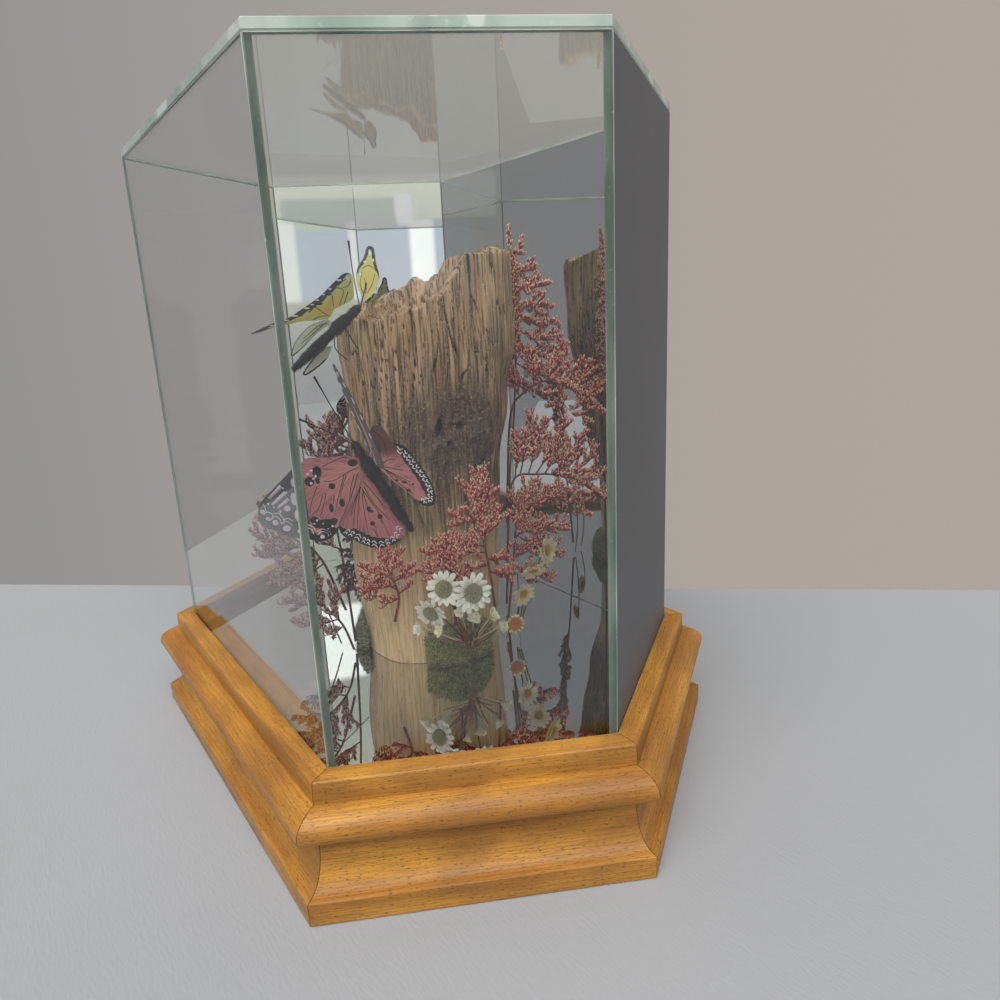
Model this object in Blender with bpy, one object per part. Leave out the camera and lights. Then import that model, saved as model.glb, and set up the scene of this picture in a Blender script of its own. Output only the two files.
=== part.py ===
"""A six-sided glass display case on a moulded wooden base, with a stump of driftwood, two butterflies,
dried plumes, everlasting flowers and moss fixed inside it.

Metres, +Z up. The origin is the middle of the underside. The wide clear pane, the front, faces -Y.
The three front panes are clear and the three rear panes are mirrors.
"""

import math

import bmesh
import bpy
from mathutils import Vector

MM = 0.001

# Glass: two wide panes, front and rear, and four narrow ones, with 120 degrees between neighbours
WIDE_PANE = 0.195
NARROW_PANE = 0.117
GLASS = 0.0038
GAP = 0.0003
MITRE_GAP = 0.0002
HALF_CORNER = math.radians(30)
HALF_DEPTH = NARROW_PANE * math.cos(HALF_CORNER)

# Heights above the table
CASE_TOP = 0.318
LEDGE_TOP = 0.0564
FLOOR_TOP = 0.0472
BOARD = 0.006

# Base moulding, as distances out from the glass
LEDGE = 0.009
LIP = 0.0194
STEP_FOOT = 0.047
LIP_MIDDLE = 0.0396
LIP_UNDER = 0.0356
LIP_INNER = 0.0162
RECESS_FOOT = 0.027
PLINTH = 0.0182
PLINTH_TOP = 0.0102
EASED = 0.001

# The arrangement faces the front-right pane, this far round from the front
ARRANGEMENT_TURN = math.radians(53.7)

# Stump: height, middle to the right, middle ahead, half its width, half its depth, in millimetres
STUMP_STATIONS = (
    (0, 9, 8, 36, 35),
    (50, 7.5, 7, 39.5, 36),
    (95, 9.5, 2, 40.5, 41),
    (137, 14, -1, 43, 44),
    (166, 15, -3, 47, 46),
    (212, 15, -4, 46.5, 46),
)
# Height of the broken rim by the angle round from the right, turning towards the viewer
STUMP_RIM = (
    (0, 207), (28, 208), (56, 205), (66, 197), (77, 187), (90, 182), (120, 178), (150, 177), (180, 179),
    (215, 184), (245, 193), (270, 200), (300, 209), (330, 211), (360, 207),
)
STUMP_TURNS = 36
STUMP_LEVELS = 15
STUMP_WALL = 9
STUMP_WELL = 164

TWIG_SIDES = 5
TWIG_SHAPE = ((0, 0.7), (0.35, 2.2), (0.75, 2.0), (1, 0.5))
STEM_RADIUS = 0.8
TOP_SHARE = 0.2
WING_THICKNESS = 0.7 * MM


def clear_scene():
    for thing in list(bpy.data.objects):
        bpy.data.objects.remove(thing)


def finish(name, colour, roughness, metallic=0.0):
    """A plain material in the part's own colour."""
    material = bpy.data.materials.new(name)
    material.use_nodes = True
    shader = material.node_tree.nodes["Principled BSDF"]
    shader.inputs["Base Color"].default_value = (*colour, 1)
    shader.inputs["Roughness"].default_value = roughness
    shader.inputs["Metallic"].default_value = metallic
    return material


def add_node(name, mesh, material):
    """Puts a closed mesh in the scene as one named sub-part."""
    mesh.materials.clear()
    mesh.materials.append(material)
    node = bpy.data.objects.new(name, mesh)
    bpy.context.collection.objects.link(node)
    return node


def loft(name, rings, cap_start=True, cap_end=True):
    """A closed mesh through rings of equally many points, each ring turning the same way."""
    work = bmesh.new()
    loops = [[work.verts.new(point) for point in ring] for ring in rings]
    for near, far in zip(loops, loops[1:]):
        for index in range(len(near)):
            following = (index + 1) % len(near)
            work.faces.new((near[index], near[following], far[following], far[index]))
    if cap_start:
        work.faces.new(list(reversed(loops[0])))
    if cap_end:
        work.faces.new(loops[-1])
    bmesh.ops.recalc_face_normals(work, faces=work.faces)
    mesh = bpy.data.meshes.new(name)
    work.to_mesh(mesh)
    work.free()
    return mesh


def fuse(name, meshes, material):
    """Joins overlapping closed meshes into one body."""
    body = add_node(name, meshes[0], material)
    tools = []
    for mesh in meshes[1:]:
        tool = bpy.data.objects.new("tool", mesh)
        bpy.context.collection.objects.link(tool)
        union = body.modifiers.new("join", "BOOLEAN")
        union.operation = "UNION"
        union.object = tool
        tools.append(tool)
    shape = body.evaluated_get(bpy.context.evaluated_depsgraph_get())
    joined = bpy.data.meshes.new_from_object(shape)
    body.modifiers.clear()
    body.data = joined
    joined.materials.clear()
    joined.materials.append(material)
    for tool in tools:
        bpy.data.objects.remove(tool)
    return body


def case_corner(number, outset):
    """One corner of the case's plan, from the front left anticlockwise, outset from the glass's face."""
    half_wide = WIDE_PANE / 2 + outset * math.tan(HALF_CORNER)
    half_deep = HALF_DEPTH + outset
    tip = WIDE_PANE / 2 + NARROW_PANE / 2 + outset / math.cos(HALF_CORNER)
    corners = (
        Vector((-half_wide, -half_deep)), Vector((half_wide, -half_deep)), Vector((tip, 0)),
        Vector((half_wide, half_deep)), Vector((-half_wide, half_deep)), Vector((-tip, 0)),
    )
    return corners[number % len(corners)]


def mitred_bar(name, side, profile, material):
    """A bar along one side of the case, with mitred ends. The profile is (outset, height) points."""
    along = (case_corner(side + 1, 0) - case_corner(side, 0)).normalized()
    start = [
        (*(case_corner(side, outset) + along * MITRE_GAP), height) for outset, height in profile
    ]
    end = [
        (*(case_corner(side + 1, outset) - along * MITRE_GAP), height) for outset, height in profile
    ]
    return add_node(name, loft(name, [start, end]), material)


def hexagon_plate(name, outset, bottom, top, material):
    low = [(*case_corner(number, outset), bottom) for number in range(6)]
    high = [(*case_corner(number, outset), top) for number in range(6)]
    return add_node(name, loft(name, [low, high]), material)


def quarter(centre, reach_out, reach_up, first_degrees, last_degrees, steps):
    """Points on part of an ellipse in the moulding's section."""
    points = []
    for step in range(steps + 1):
        angle = math.radians(first_degrees + (last_degrees - first_degrees) * step / steps)
        points.append((centre[0] + reach_out * math.cos(angle), centre[1] + reach_up * math.sin(angle)))
    return points


def moulding_profile():
    """The base rail's section: plinth, cove, recess, rounded lip, quarter round, step and ledge."""
    plinth = [(GAP, 0), (PLINTH - 2 * EASED, 0), (PLINTH, 2 * EASED), (PLINTH, PLINTH_TOP)]
    cove_centre = (PLINTH - EASED, RECESS_FOOT)
    cove = quarter(cove_centre, PLINTH - EASED - LEDGE, RECESS_FOOT - PLINTH_TOP - EASED / 2, 270, 180, 5)
    under_lip = [(LEDGE, LIP_UNDER - EASED), (LEDGE + EASED, LIP_UNDER)]
    lip = quarter((LIP_INNER, LIP_MIDDLE), LIP - LIP_INNER, LIP_MIDDLE - LIP_UNDER, -90, 0, 4)
    round_over = quarter((LEDGE, LIP_MIDDLE), LIP - LEDGE, STEP_FOOT - LIP_MIDDLE, 12, 90, 5)
    ledge = [(LEDGE, LEDGE_TOP - EASED), (LEDGE - EASED, LEDGE_TOP), (GAP, LEDGE_TOP)]
    return plinth + cove + under_lip + lip + round_over + ledge


def build_case():
    wood = finish("honey_wood", (0.52, 0.27, 0.09), 0.45)
    board_wood = finish("board_wood", (0.45, 0.33, 0.2), 0.7)
    clear = finish("clear_glass", (0.85, 0.92, 0.89), 0.03)
    silver = finish("mirror", (0.75, 0.77, 0.78), 0.05, 1.0)

    rails = ("front", "front_right", "rear_right", "rear", "rear_left", "front_left")
    profile = moulding_profile()
    for side, place in enumerate(rails):
        mitred_bar(f"base_rail_{place}", side, profile, wood)

    board_top = FLOOR_TOP - GLASS - GAP
    hexagon_plate("base_foot_board", 0, 0, BOARD, board_wood)
    hexagon_plate("base_floor_board", 0, board_top - BOARD, board_top, board_wood)
    hexagon_plate("floor_mirror", -GLASS - GAP, FLOOR_TOP - GLASS, FLOOR_TOP, silver)
    hexagon_plate("glass_lid", 0, CASE_TOP - GLASS, CASE_TOP, clear)

    foot = board_top + GAP
    top = CASE_TOP - GLASS - GAP
    section = [(-GLASS, foot), (0, foot), (0, top), (-GLASS, top)]
    for side, place in enumerate(rails):
        mirrored = place.startswith("rear")
        name = f"mirror_pane_{place}" if mirrored else f"glass_pane_{place}"
        mitred_bar(name, side, section, silver if mirrored else clear)


def spot(right, ahead, up):
    """A place in the arrangement, in millimetres right of, in front of and above the middle of the
    mirror floor, as seen squarely from where the arrangement faces."""
    across = Vector((math.cos(ARRANGEMENT_TURN), math.sin(ARRANGEMENT_TURN), 0))
    towards = Vector((math.sin(ARRANGEMENT_TURN), -math.cos(ARRANGEMENT_TURN), 0))
    return (across * right + towards * ahead) * MM + Vector((0, 0, FLOOR_TOP + up * MM))


def between(table, at):
    """Reads a table of rows (position, value, ...) at a position, easing from row to row."""
    for low, high in zip(table, table[1:]):
        if at <= high[0]:
            break
    share = min(max((at - low[0]) / (high[0] - low[0]), 0), 1)
    share = share * share * (3 - 2 * share)
    return [a + (b - a) * share for a, b in zip(low[1:], high[1:])]


def rim_height(degrees):
    """The rim is jagged at the back, where the wood broke, and smoother at the front."""
    (height,) = between(STUMP_RIM, degrees % 360)
    back = max(0.0, -math.sin(math.radians(degrees)))
    jag = 2.2 * math.sin(math.radians(degrees * 9)) + 1.6 * math.sin(math.radians(degrees * 14 + 40))
    return height + jag * (0.3 + 0.7 * back)


def stump_point(degrees, up, inset=0.0):
    """A place on the stump's side, with its grain's slow ridges and the burl at its right."""
    middle_right, middle_ahead, half_wide, half_deep = between(STUMP_STATIONS, up)
    turn = math.radians(degrees)
    ridges = 1 + 0.018 * math.sin(3 * turn + 0.6) + 0.012 * math.sin(7 * turn + 0.02 * up)
    burl = 2.5 * math.exp(-(((degrees - 55) / 24) ** 2) - ((up - 122) / 24) ** 2)
    right = middle_right + (half_wide * ridges + burl - inset) * math.cos(turn)
    ahead = middle_ahead + (half_deep * ridges + burl - inset) * math.sin(turn)
    return right, ahead, up


def build_stump():
    bark = finish("driftwood", (0.36, 0.27, 0.18), 0.85)
    turns = [360 * step / STUMP_TURNS for step in range(STUMP_TURNS)]
    rings = []
    for level in range(STUMP_LEVELS + 1):
        share = level / STUMP_LEVELS
        foot = GAP / MM
        ring = [stump_point(degrees, foot + (rim_height(degrees) - foot) * share) for degrees in turns]
        rings.append([spot(*point) for point in ring])
    for drop, inset in ((0.0, STUMP_WALL), (0.5, STUMP_WALL + 4), (1.0, STUMP_WALL + 12)):
        ring = []
        for degrees in turns:
            up = rim_height(degrees) - drop * (rim_height(degrees) - STUMP_WELL)
            ring.append(spot(*stump_point(degrees, up, inset)))
        rings.append(ring)
    mesh = loft("stump", rings)
    return add_node("stump", mesh, bark)


def moss_patch(name, first, last, height, depth, material):
    """A mound of moss against the stump's foot, between two angles round it."""
    clearance = 0.8
    columns = 9
    rows = 5
    inner = []
    outer = []
    for row in range(rows + 1):
        up = 0.4 + (height - 0.4) * row / rows
        near = []
        far = []
        for column in range(columns + 1):
            share = column / columns
            degrees = first + (last - first) * share
            swell = math.sin(math.pi * (0.12 + 0.76 * share))
            lump = 1 + 0.18 * math.sin(5 * share * math.pi + row)
            thickness = 0.8 + depth * swell * lump * math.cos(math.pi / 2 * (row / rows) ** 1.5)
            level = 0.4 + (up - 0.4) * (0.55 + 0.45 * swell)
            near.append(stump_point(degrees, level, -clearance))
            far.append(stump_point(degrees, level, -clearance - thickness))
        inner.append(near)
        outer.append(far)
    rings = []
    for column in range(columns + 1):
        loop = [inner[row][column] for row in range(rows + 1)]
        loop += [outer[row][column] for row in reversed(range(rows + 1))]
        rings.append([spot(*point) for point in loop])
    return add_node(name, loft(name, rings), material)


def build_moss():
    moss = finish("moss", (0.16, 0.2, 0.1), 0.95)
    moss_patch("moss_front", 36, 88, 22, 7, moss)
    moss_patch("moss_left", 158, 196, 17, 8, moss)
    moss_patch("moss_rear", 262, 312, 18, 8, moss)


def tube(name, points, radii, sides):
    """A closed tapering tube through points in the arrangement's millimetres."""
    places = [spot(*point) for point in points]
    side = Vector((0.31, 0.27, 0.91))
    if abs((places[1] - places[0]).normalized().dot(side)) > 0.8:
        side = Vector((0.9, 0.4, 0.1))
    rings = []
    for index, place in enumerate(places):
        before = places[max(index - 1, 0)]
        after = places[min(index + 1, len(places) - 1)]
        direction = (after - before).normalized()
        side = (side - direction * side.dot(direction)).normalized()
        other = direction.cross(side)
        ring = []
        for step in range(sides):
            angle = 2 * math.pi * step / sides
            ring.append(place + (side * math.cos(angle) + other * math.sin(angle)) * radii[index] * MM)
        rings.append(ring)
    return loft(name, rings)


def bend(start, middle, end, share):
    """A point on a smooth curve that leaves start, leans to middle and arrives at end."""
    rest = 1 - share
    return tuple(
        rest * rest * a + 2 * rest * share * b + share * share * c for a, b, c in zip(start, middle, end)
    )


def stem_point(route, share):
    """A point at a share of the way along a route's straight stretches."""
    at = share * (len(route) - 1)
    index = min(int(at), len(route) - 2)
    part = at - index
    return tuple(a + (b - a) * part for a, b in zip(route[index], route[index + 1]))


def plume(name, route, twigs, material):
    """A stem with side twigs. A twig is (share of the way up the stem, its tip) and ends in a spindle
    that holds its florets; the stem's own end is a spindle too."""
    tip_run = [stem_point(route, 1 - TOP_SHARE * (1 - share)) for share, _ in TWIG_SHAPE]
    bare = route[:-1] + [stem_point(route, 1 - TOP_SHARE / 2)]
    stem = tube("stem", bare, [STEM_RADIUS] * len(bare), 6)
    top = tube("top", tip_run, [radius for _, radius in TWIG_SHAPE], TWIG_SIDES)
    pieces = [stem, top]
    for share, tip in twigs:
        root = stem_point(route, share)
        sag = tuple((a + b) / 2 for a, b in zip(root, tip))
        sag = (sag[0], sag[1], sag[2] - 0.15 * abs(tip[0] - root[0]))
        run = [bend(root, sag, tip, along) for along, _ in TWIG_SHAPE]
        pieces.append(tube("twig", run, [radius for _, radius in TWIG_SHAPE], TWIG_SIDES))
    return fuse(name, pieces, material)


def build_plumes():
    crimson = finish("crimson_florets", (0.42, 0.09, 0.09), 0.8)
    purple = finish("faded_florets", (0.27, 0.1, 0.12), 0.85)
    plume(
        "plume_tall",
        [(52, -20, 4), (57, -20, 82), (62, -20, 130), (67, -20, 180), (65, -20, 222)],
        [(0.93, (72, -17, 207)), (0.86, (85, -18, 194)), (0.78, (84, -16, 175)), (0.69, (90, -18, 156)),
         (0.76, (73, -24, 168))],
        crimson,
    )
    plume(
        "plume_arching",
        [(54, -6, 60), (58, -4, 119), (65, -4, 134), (80, -2, 141), (95, 0, 135), (109, 3, 121)],
        [(0.38, (60, -9, 141)), (0.5, (72, -6, 150)), (0.62, (82, -3, 152)), (0.74, (94, 0, 147))],
        crimson,
    )
    plume(
        "plume_fan",
        [(53, 6, 40), (57, 6, 86), (72, 6, 91), (90, 6, 88), (103, 8, 80)],
        [(0.3, (62, 8, 115)), (0.42, (76, 6, 121)), (0.55, (86, 8, 111)), (0.66, (94, 6, 104)),
         (0.8, (108, 8, 92))],
        crimson,
    )
    plume(
        "plume_low",
        [(51, 15, 4), (56, 15, 44), (59, 15, 67), (68, 15, 80)],
        [(0.3, (68, 16, 40)), (0.45, (74, 15, 55)), (0.6, (78, 17, 66)), (0.75, (57, 17, 84)),
         (0.84, (77, 14, 80))],
        crimson,
    )
    plume(
        "sprig_front_right",
        [(45, 42, 24), (43, 45, 50), (40, 46, 72), (37, 46, 92)],
        [(0.45, (52, 40, 56)), (0.55, (31, 49, 72)), (0.66, (50, 41, 82))],
        crimson,
    )
    plume(
        "sprig_front_left",
        [(24, 48, 24), (25, 48, 44), (27, 49, 62)],
        [(0.45, (12, 50, 49)), (0.7, (17, 50, 62))],
        crimson,
    )
    plume(
        "plume_curled",
        [(-6, 53, 30), (-3, 53, 44), (-8, 53, 56), (-17, 53, 50)],
        [(0.35, (3, 52, 50)), (0.5, (4, 53, 59)), (0.3, (-12, 53, 40))],
        crimson,
    )
    plume(
        "plume_left_upright",
        [(-34, 20, 4), (-36, 21, 50), (-39, 22, 90), (-38, 22, 120)],
        [(0.55, (-48, 24, 88)), (0.7, (-46, 22, 104))],
        purple,
    )
    plume(
        "plume_left_spread",
        [(-36, 27, 26), (-46, 28, 56), (-60, 29, 72), (-70, 29, 79)],
        [(0.4, (-66, 30, 50)), (0.5, (-77, 29, 60)), (0.62, (-57, 28, 92))],
        purple,
    )
    plume(
        "plume_left_low",
        [(-33, 30, 4), (-38, 31, 20), (-48, 32, 32), (-58, 32, 36)],
        [(0.3, (-46, 34, 15)), (0.5, (-39, 33, 41))],
        purple,
    )
    plume(
        "plume_rear",
        [(11, -50, 6), (12, -54, 60), (20, -58, 110), (20, -60, 152)],
        [(0.35, (38, -56, 88)), (0.45, (2, -57, 96)), (0.6, (38, -58, 118)), (0.75, (5, -60, 132))],
        purple,
    )


def flower_head(name, centre, facing, radius, petals, material):
    """An open flower: a domed disc and a ring of petals, with a small calyx behind."""
    middle = spot(*centre)
    normal = (spot(*facing) - spot(0, 0, 0)).normalized()
    side = normal.cross(Vector((0, 0, 1))).normalized()
    up = side.cross(normal)

    def ring(reach, lift, valley=1.0):
        points = []
        for step in range(petals * 2):
            angle = math.pi * step / petals
            out = reach * (1 if step % 2 else valley)
            points.append(middle + (side * math.cos(angle) * out + up * math.sin(angle) * out
                                    + normal * lift) * MM)
        return points

    rings = [
        ring(0.12 * radius, -2.6), ring(0.4 * radius, -1.2), ring(radius, -0.4, 0.62),
        ring(radius, 0.4, 0.62), ring(0.46 * radius, 0.8), ring(0.15 * radius, 1.9),
    ]
    return add_node(name, loft(name, rings), material)


def bud(name, centre, radius, material):
    """A closed flower bud, a little taller than it is wide."""
    work = bmesh.new()
    bmesh.ops.create_uvsphere(work, u_segments=7, v_segments=5, radius=radius * MM)
    for vertex in work.verts:
        vertex.co.z *= 1.2
        vertex.co += spot(*centre)
    mesh = bpy.data.meshes.new(name)
    work.to_mesh(mesh)
    work.free()
    return add_node(name, mesh, material)


def build_flowers():
    woolly = finish("woolly_petals", (0.78, 0.76, 0.68), 0.9)
    orange = finish("orange_discs", (0.62, 0.3, 0.06), 0.85)
    cream = finish("cream_petals", (0.8, 0.7, 0.48), 0.85)
    stalk = finish("dry_stalks", (0.2, 0.09, 0.05), 0.8)

    flower_head("daisy_upper_left", (20, 55, 47), (-0.15, 1, 0.35), 7.4, 12, woolly)
    flower_head("daisy_upper_right", (34, 59.5, 46), (0.3, 1, 0.25), 8.4, 12, woolly)
    flower_head("daisy_lower_left", (13, 55.5, 35), (-0.45, 1, -0.3), 6.4, 11, woolly)
    flower_head("daisy_orange", (55, 27, 13), (0.25, 1, 0.1), 5.4, 10, orange)
    flower_head("daisy_cream_right", (73, 26, 54), (0.8, 0.6, 0.1), 6, 10, cream)
    flower_head("daisy_cream_middle", (66, 27, 44), (0.2, 0.8, -0.7), 5, 10, cream)
    flower_head("daisy_cream_low", (60, 26, 30), (0.5, 0.9, -0.2), 5, 10, cream)
    flower_head("daisy_cream_left", (-57, 15, 38), (-0.5, 0.9, 0.1), 6, 10, cream)

    flower_head("daisy_rear_orange", (24, -46, 44), (0.4, -1, 0.2), 6.5, 10, orange)
    flower_head("daisy_rear_cream", (0, -45, 32), (-0.3, -1, 0.1), 7, 10, cream)

    buds = ((7, 55, 26.5), (17, 56, 25), (27.5, 57, 34.5), (34, 57, 31), (43, 52, 30), (47, 49, 22))
    for number, centre in enumerate(buds, start=1):
        bud(f"bud_{number}", centre, 2.5, woolly)

    root = (31, 54, 15)
    sticks = []
    for tip in ((21, 55, 28), (25, 55, 29), (30, 55, 28.5), (35, 54, 26.5), (40, 52.5, 24)):
        halfway = tuple((a + b) / 2 for a, b in zip(root, tip))
        sticks.append(tube("stick", [root, halfway, tip], [0.9, 0.6, 0.4], 5))
    fuse("stalk_bundle", sticks, stalk)


def wing(name, outline, material):
    """A flat wing from its outline in the arrangement's millimetres."""
    points = [spot(*point) for point in outline]
    middle = sum(points, Vector()) / len(points)
    normal = Vector()
    for here, following in zip(points, points[1:] + points[:1]):
        normal += (here - middle).cross(following - middle)
    offset = normal.normalized() * WING_THICKNESS / 2
    rings = [[point - offset for point in points], [point + offset for point in points]]
    return add_node(name, loft(name, rings), material)


def insect_body(name, head, tail, girth, feelers, legs, material):
    """Head, thorax and abdomen as one turned shape, with feelers and legs fused to it."""
    shape = (
        (0.0, 0.25), (0.04, 0.6), (0.1, 0.62), (0.15, 0.45), (0.22, 0.95), (0.34, 1.0), (0.42, 0.62),
        (0.55, 0.85), (0.75, 0.75), (0.93, 0.4), (1.0, 0.12),
    )
    run = [tuple(a + (b - a) * share for a, b in zip(head, tail)) for share, _ in shape]
    pieces = [tube("trunk", run, [girth * part for _, part in shape], 8)]
    for root, tip in feelers:
        halfway = tuple((a + b) / 2 for a, b in zip(root, tip))
        pieces.append(tube("feeler", [root, halfway, tip], [0.35, 0.4, 0.7], 4))
    for root, knee, foot in legs:
        pieces.append(tube("leg", [root, knee, foot], [0.4, 0.35, 0.3], 4))
    return fuse(name, pieces, material)


def build_red_butterfly():
    black = finish("insect_black", (0.02, 0.018, 0.022), 0.6)
    rose = finish("rose_wing", (0.5, 0.16, 0.15), 0.6)
    insect_body(
        "red_butterfly_body", (-17, 60, 124), (6, 52, 77), 3.6,
        [((-17.5, 60.2, 123), (-40, 62, 136)), ((-16.6, 60.2, 123.5), (-31, 63, 155))],
        [((-14, 58, 117), (-17, 51, 118), (-13, 43.6, 113)),
         ((-11, 57, 112), (-6, 50, 114), (-4, 43.8, 110)),
         ((-9, 56, 107), (-12, 49, 102), (-8, 43.8, 99))],
        black,
    )
    wing(
        "red_butterfly_left_forewing",
        [(-17.5, 58, 113), (-19, 58, 116), (-28, 60, 117), (-38, 63, 118), (-46, 63, 110), (-55, 64, 103),
         (-61, 65, 98), (-61, 64, 91), (-57, 62, 85), (-50, 60, 81), (-41, 57, 77), (-38, 56, 75),
         (-33, 55, 77), (-29, 55, 81)],
        rose,
    )
    wing(
        "red_butterfly_left_hindwing",
        [(-14.5, 54, 108), (-13.5, 53, 104), (-6, 49, 86), (-1, 47.6, 79), (3, 46, 72), (-2, 45, 69.5),
         (-10, 46.5, 67), (-18, 49, 68.5), (-24, 51, 73), (-30, 53, 79), (-23, 53.5, 95)],
        rose,
    )
    wing(
        "red_butterfly_right_forewing",
        [(-7.8, 62.5, 115), (-12, 65, 131), (-18, 69, 148), (-19.5, 76, 161), (-16, 84, 159), (-9, 89, 146),
         (-3.5, 90, 132), (0.5, 86, 119), (-2.5, 76, 114), (-6, 66, 113.5)],
        rose,
    )
    wing(
        "red_butterfly_right_hindwing",
        [(-6.5, 57, 112), (-8, 59, 128), (-4, 60, 130), (2, 60, 123), (6, 60, 122), (11, 60, 113),
         (17, 60, 104), (19, 60, 95), (17, 59, 91), (12, 58, 92), (5, 57.5, 98), (-2.5, 57, 105)],
        rose,
    )


def build_yellow_butterfly():
    navy = finish("insect_navy", (0.03, 0.035, 0.06), 0.6)
    lime = finish("lime_wing", (0.55, 0.52, 0.2), 0.6)
    insect_body(
        "yellow_butterfly_body", (-11, 41, 185), (-45, 44, 157), 3.2,
        [((-11.6, 41, 185), (-14, 41, 214)), ((-11, 41, 185), (-7.5, 41, 195))],
        [((-20, 41.6, 177), (-16, 45, 170), (-14, 41.5, 165)),
         ((-24, 42, 174), (-24, 45, 166), (-20, 38.6, 160))],
        navy,
    )
    wing(
        "yellow_butterfly_near_forewing",
        [(-20.5, 43, 187), (-25, 43, 182.5), (-31, 44, 181.5), (-38, 45.5, 179.5), (-45, 47, 179.5),
         (-60, 50, 174), (-50, 48, 180), (-39, 47, 183), (-32, 46, 187), (-22, 46, 195), (-17, 46, 198),
         (-13.5, 45, 199), (-14, 43, 191.5)],
        lime,
    )
    wing(
        "yellow_butterfly_near_hindwing",
        [(-29, 41.5, 178), (-39, 44, 177.5), (-43, 44.5, 172), (-45.5, 43, 165.5), (-40, 41.8, 168.5)],
        lime,
    )
    wing(
        "yellow_butterfly_far_forewing",
        [(-12, 33, 191), (-14, 26, 203), (-9, 21, 214), (-4, 24, 210), (-2, 30, 197), (-8, 34.5, 189)],
        lime,
    )
    wing(
        "yellow_butterfly_far_hindwing",
        [(-26.5, 38.8, 166.5), (-34, 37, 163.5), (-43, 36, 154.5), (-40, 35.4, 153), (-31, 36, 159)],
        lime,
    )


def main():
    clear_scene()
    build_case()
    build_stump()
    build_moss()
    build_plumes()
    build_flowers()
    build_red_butterfly()
    build_yellow_butterfly()


main()
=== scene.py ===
# %% [markdown]
# A six-sided glass case on a moulded wooden base holds a stump of driftwood, two butterflies, dried plumes,
# everlasting flowers and moss. Three of its panes are clear and three are mirrors, and its floor is a
# mirror too, so half of what one sees in it is reflected. This lesson dresses the plain solids of that
# case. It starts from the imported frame, which fixes every size and place, and makes one finished piece for
# each solid in it.

# %% Load the frame
import math
import random

import bmesh
import bpy
import numpy as np
from mathutils import Matrix, Vector, noise


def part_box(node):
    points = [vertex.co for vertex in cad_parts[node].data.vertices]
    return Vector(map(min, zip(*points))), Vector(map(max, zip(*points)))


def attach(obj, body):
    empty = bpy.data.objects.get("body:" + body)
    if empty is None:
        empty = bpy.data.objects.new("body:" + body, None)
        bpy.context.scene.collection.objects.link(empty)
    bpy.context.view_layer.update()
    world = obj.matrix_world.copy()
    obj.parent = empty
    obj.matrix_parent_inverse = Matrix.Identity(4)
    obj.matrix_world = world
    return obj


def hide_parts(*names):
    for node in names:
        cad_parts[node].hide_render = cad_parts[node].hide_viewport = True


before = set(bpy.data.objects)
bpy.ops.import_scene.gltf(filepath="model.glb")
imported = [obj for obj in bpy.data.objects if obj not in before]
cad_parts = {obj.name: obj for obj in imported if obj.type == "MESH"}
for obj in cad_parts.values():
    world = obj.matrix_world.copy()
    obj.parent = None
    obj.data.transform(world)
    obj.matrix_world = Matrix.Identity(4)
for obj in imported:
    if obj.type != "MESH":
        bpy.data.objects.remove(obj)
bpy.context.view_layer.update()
print(len(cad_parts), "solids in the frame")

# %% [markdown]
# A finish is a small sum: so much streak, so much fleck, darker in the cracks. Written as Python it reads
# like that sum, so one class wraps a shader's socket and turns each operator into a Math node. Everything
# that isn't arithmetic comes from its one method node, which sets a node's own settings first and its
# sockets after them.


# %% Shader arithmetic
class Ink:
    """A socket of a shader that can be added, multiplied and compared like a number."""

    def __init__(self, tree, socket=None):
        self.tree = tree
        self.socket = socket

    def node(self, kind, settings=None, sockets=None, output=0):
        made = self.tree.nodes.new(kind)
        for name, value in (settings or {}).items():
            setattr(made, name, value)
        for name, value in (sockets or {}).items():
            if isinstance(value, Ink):
                self.tree.links.new(value.socket, made.inputs[name])
            else:
                made.inputs[name].default_value = value
        return Ink(self.tree, made.outputs[output])

    def math(self, operation, *values):
        return self.node("ShaderNodeMath", {"operation": operation}, dict(enumerate(values)))

    def __add__(self, other):
        return self.math("ADD", self, other)

    def __radd__(self, other):
        return self.math("ADD", other, self)

    def __sub__(self, other):
        return self.math("SUBTRACT", self, other)

    def __rsub__(self, other):
        return self.math("SUBTRACT", other, self)

    def __mul__(self, other):
        return self.math("MULTIPLY", self, other)

    def __rmul__(self, other):
        return self.math("MULTIPLY", other, self)

    def __abs__(self):
        return self.math("ABSOLUTE", self)


def rise(ink, low, high):
    """0 where ink is at or below low, 1 where it is at or above high, and smooth between them."""
    ends = {"Value": ink, "From Min": low, "From Max": high}
    return ink.node("ShaderNodeMapRange", {"interpolation_type": "SMOOTHSTEP"}, ends)


def mix(share, first, second):
    """The first colour where share is 0 and the second where it is 1."""
    return share.node("ShaderNodeMix", {"data_type": "RGBA"}, {0: share, 6: first, 7: second}, 2)


def speckle(where, scale, detail=2.0, stretch=(1, 1, 1)):
    """Soft noise from 0 to 1, its middle at 0.5. A stretch above 1 makes it finer along that axis."""
    spread = where.node("ShaderNodeMapping", {"vector_type": "POINT"}, {"Vector": where, "Scale": stretch})
    return where.node("ShaderNodeTexNoise", {}, {"Vector": spread, "Scale": scale, "Detail": detail})


def colour(red, green, blue):
    """A colour from the 0 to 255 values that a screen shows, as the linear values that a shader wants."""
    return (*((level / 255) ** 2.2 for level in (red, green, blue)), 1)


print("mid grey paint is", round(colour(128, 128, 128)[0], 3), "of full white")

# %% [markdown]
# Every material here is a Principled shader. What is the same all over a surface is set on the shader's own
# socket, and what varies is fed to it, so that the finish survives an export with its numbers intact.


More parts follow.
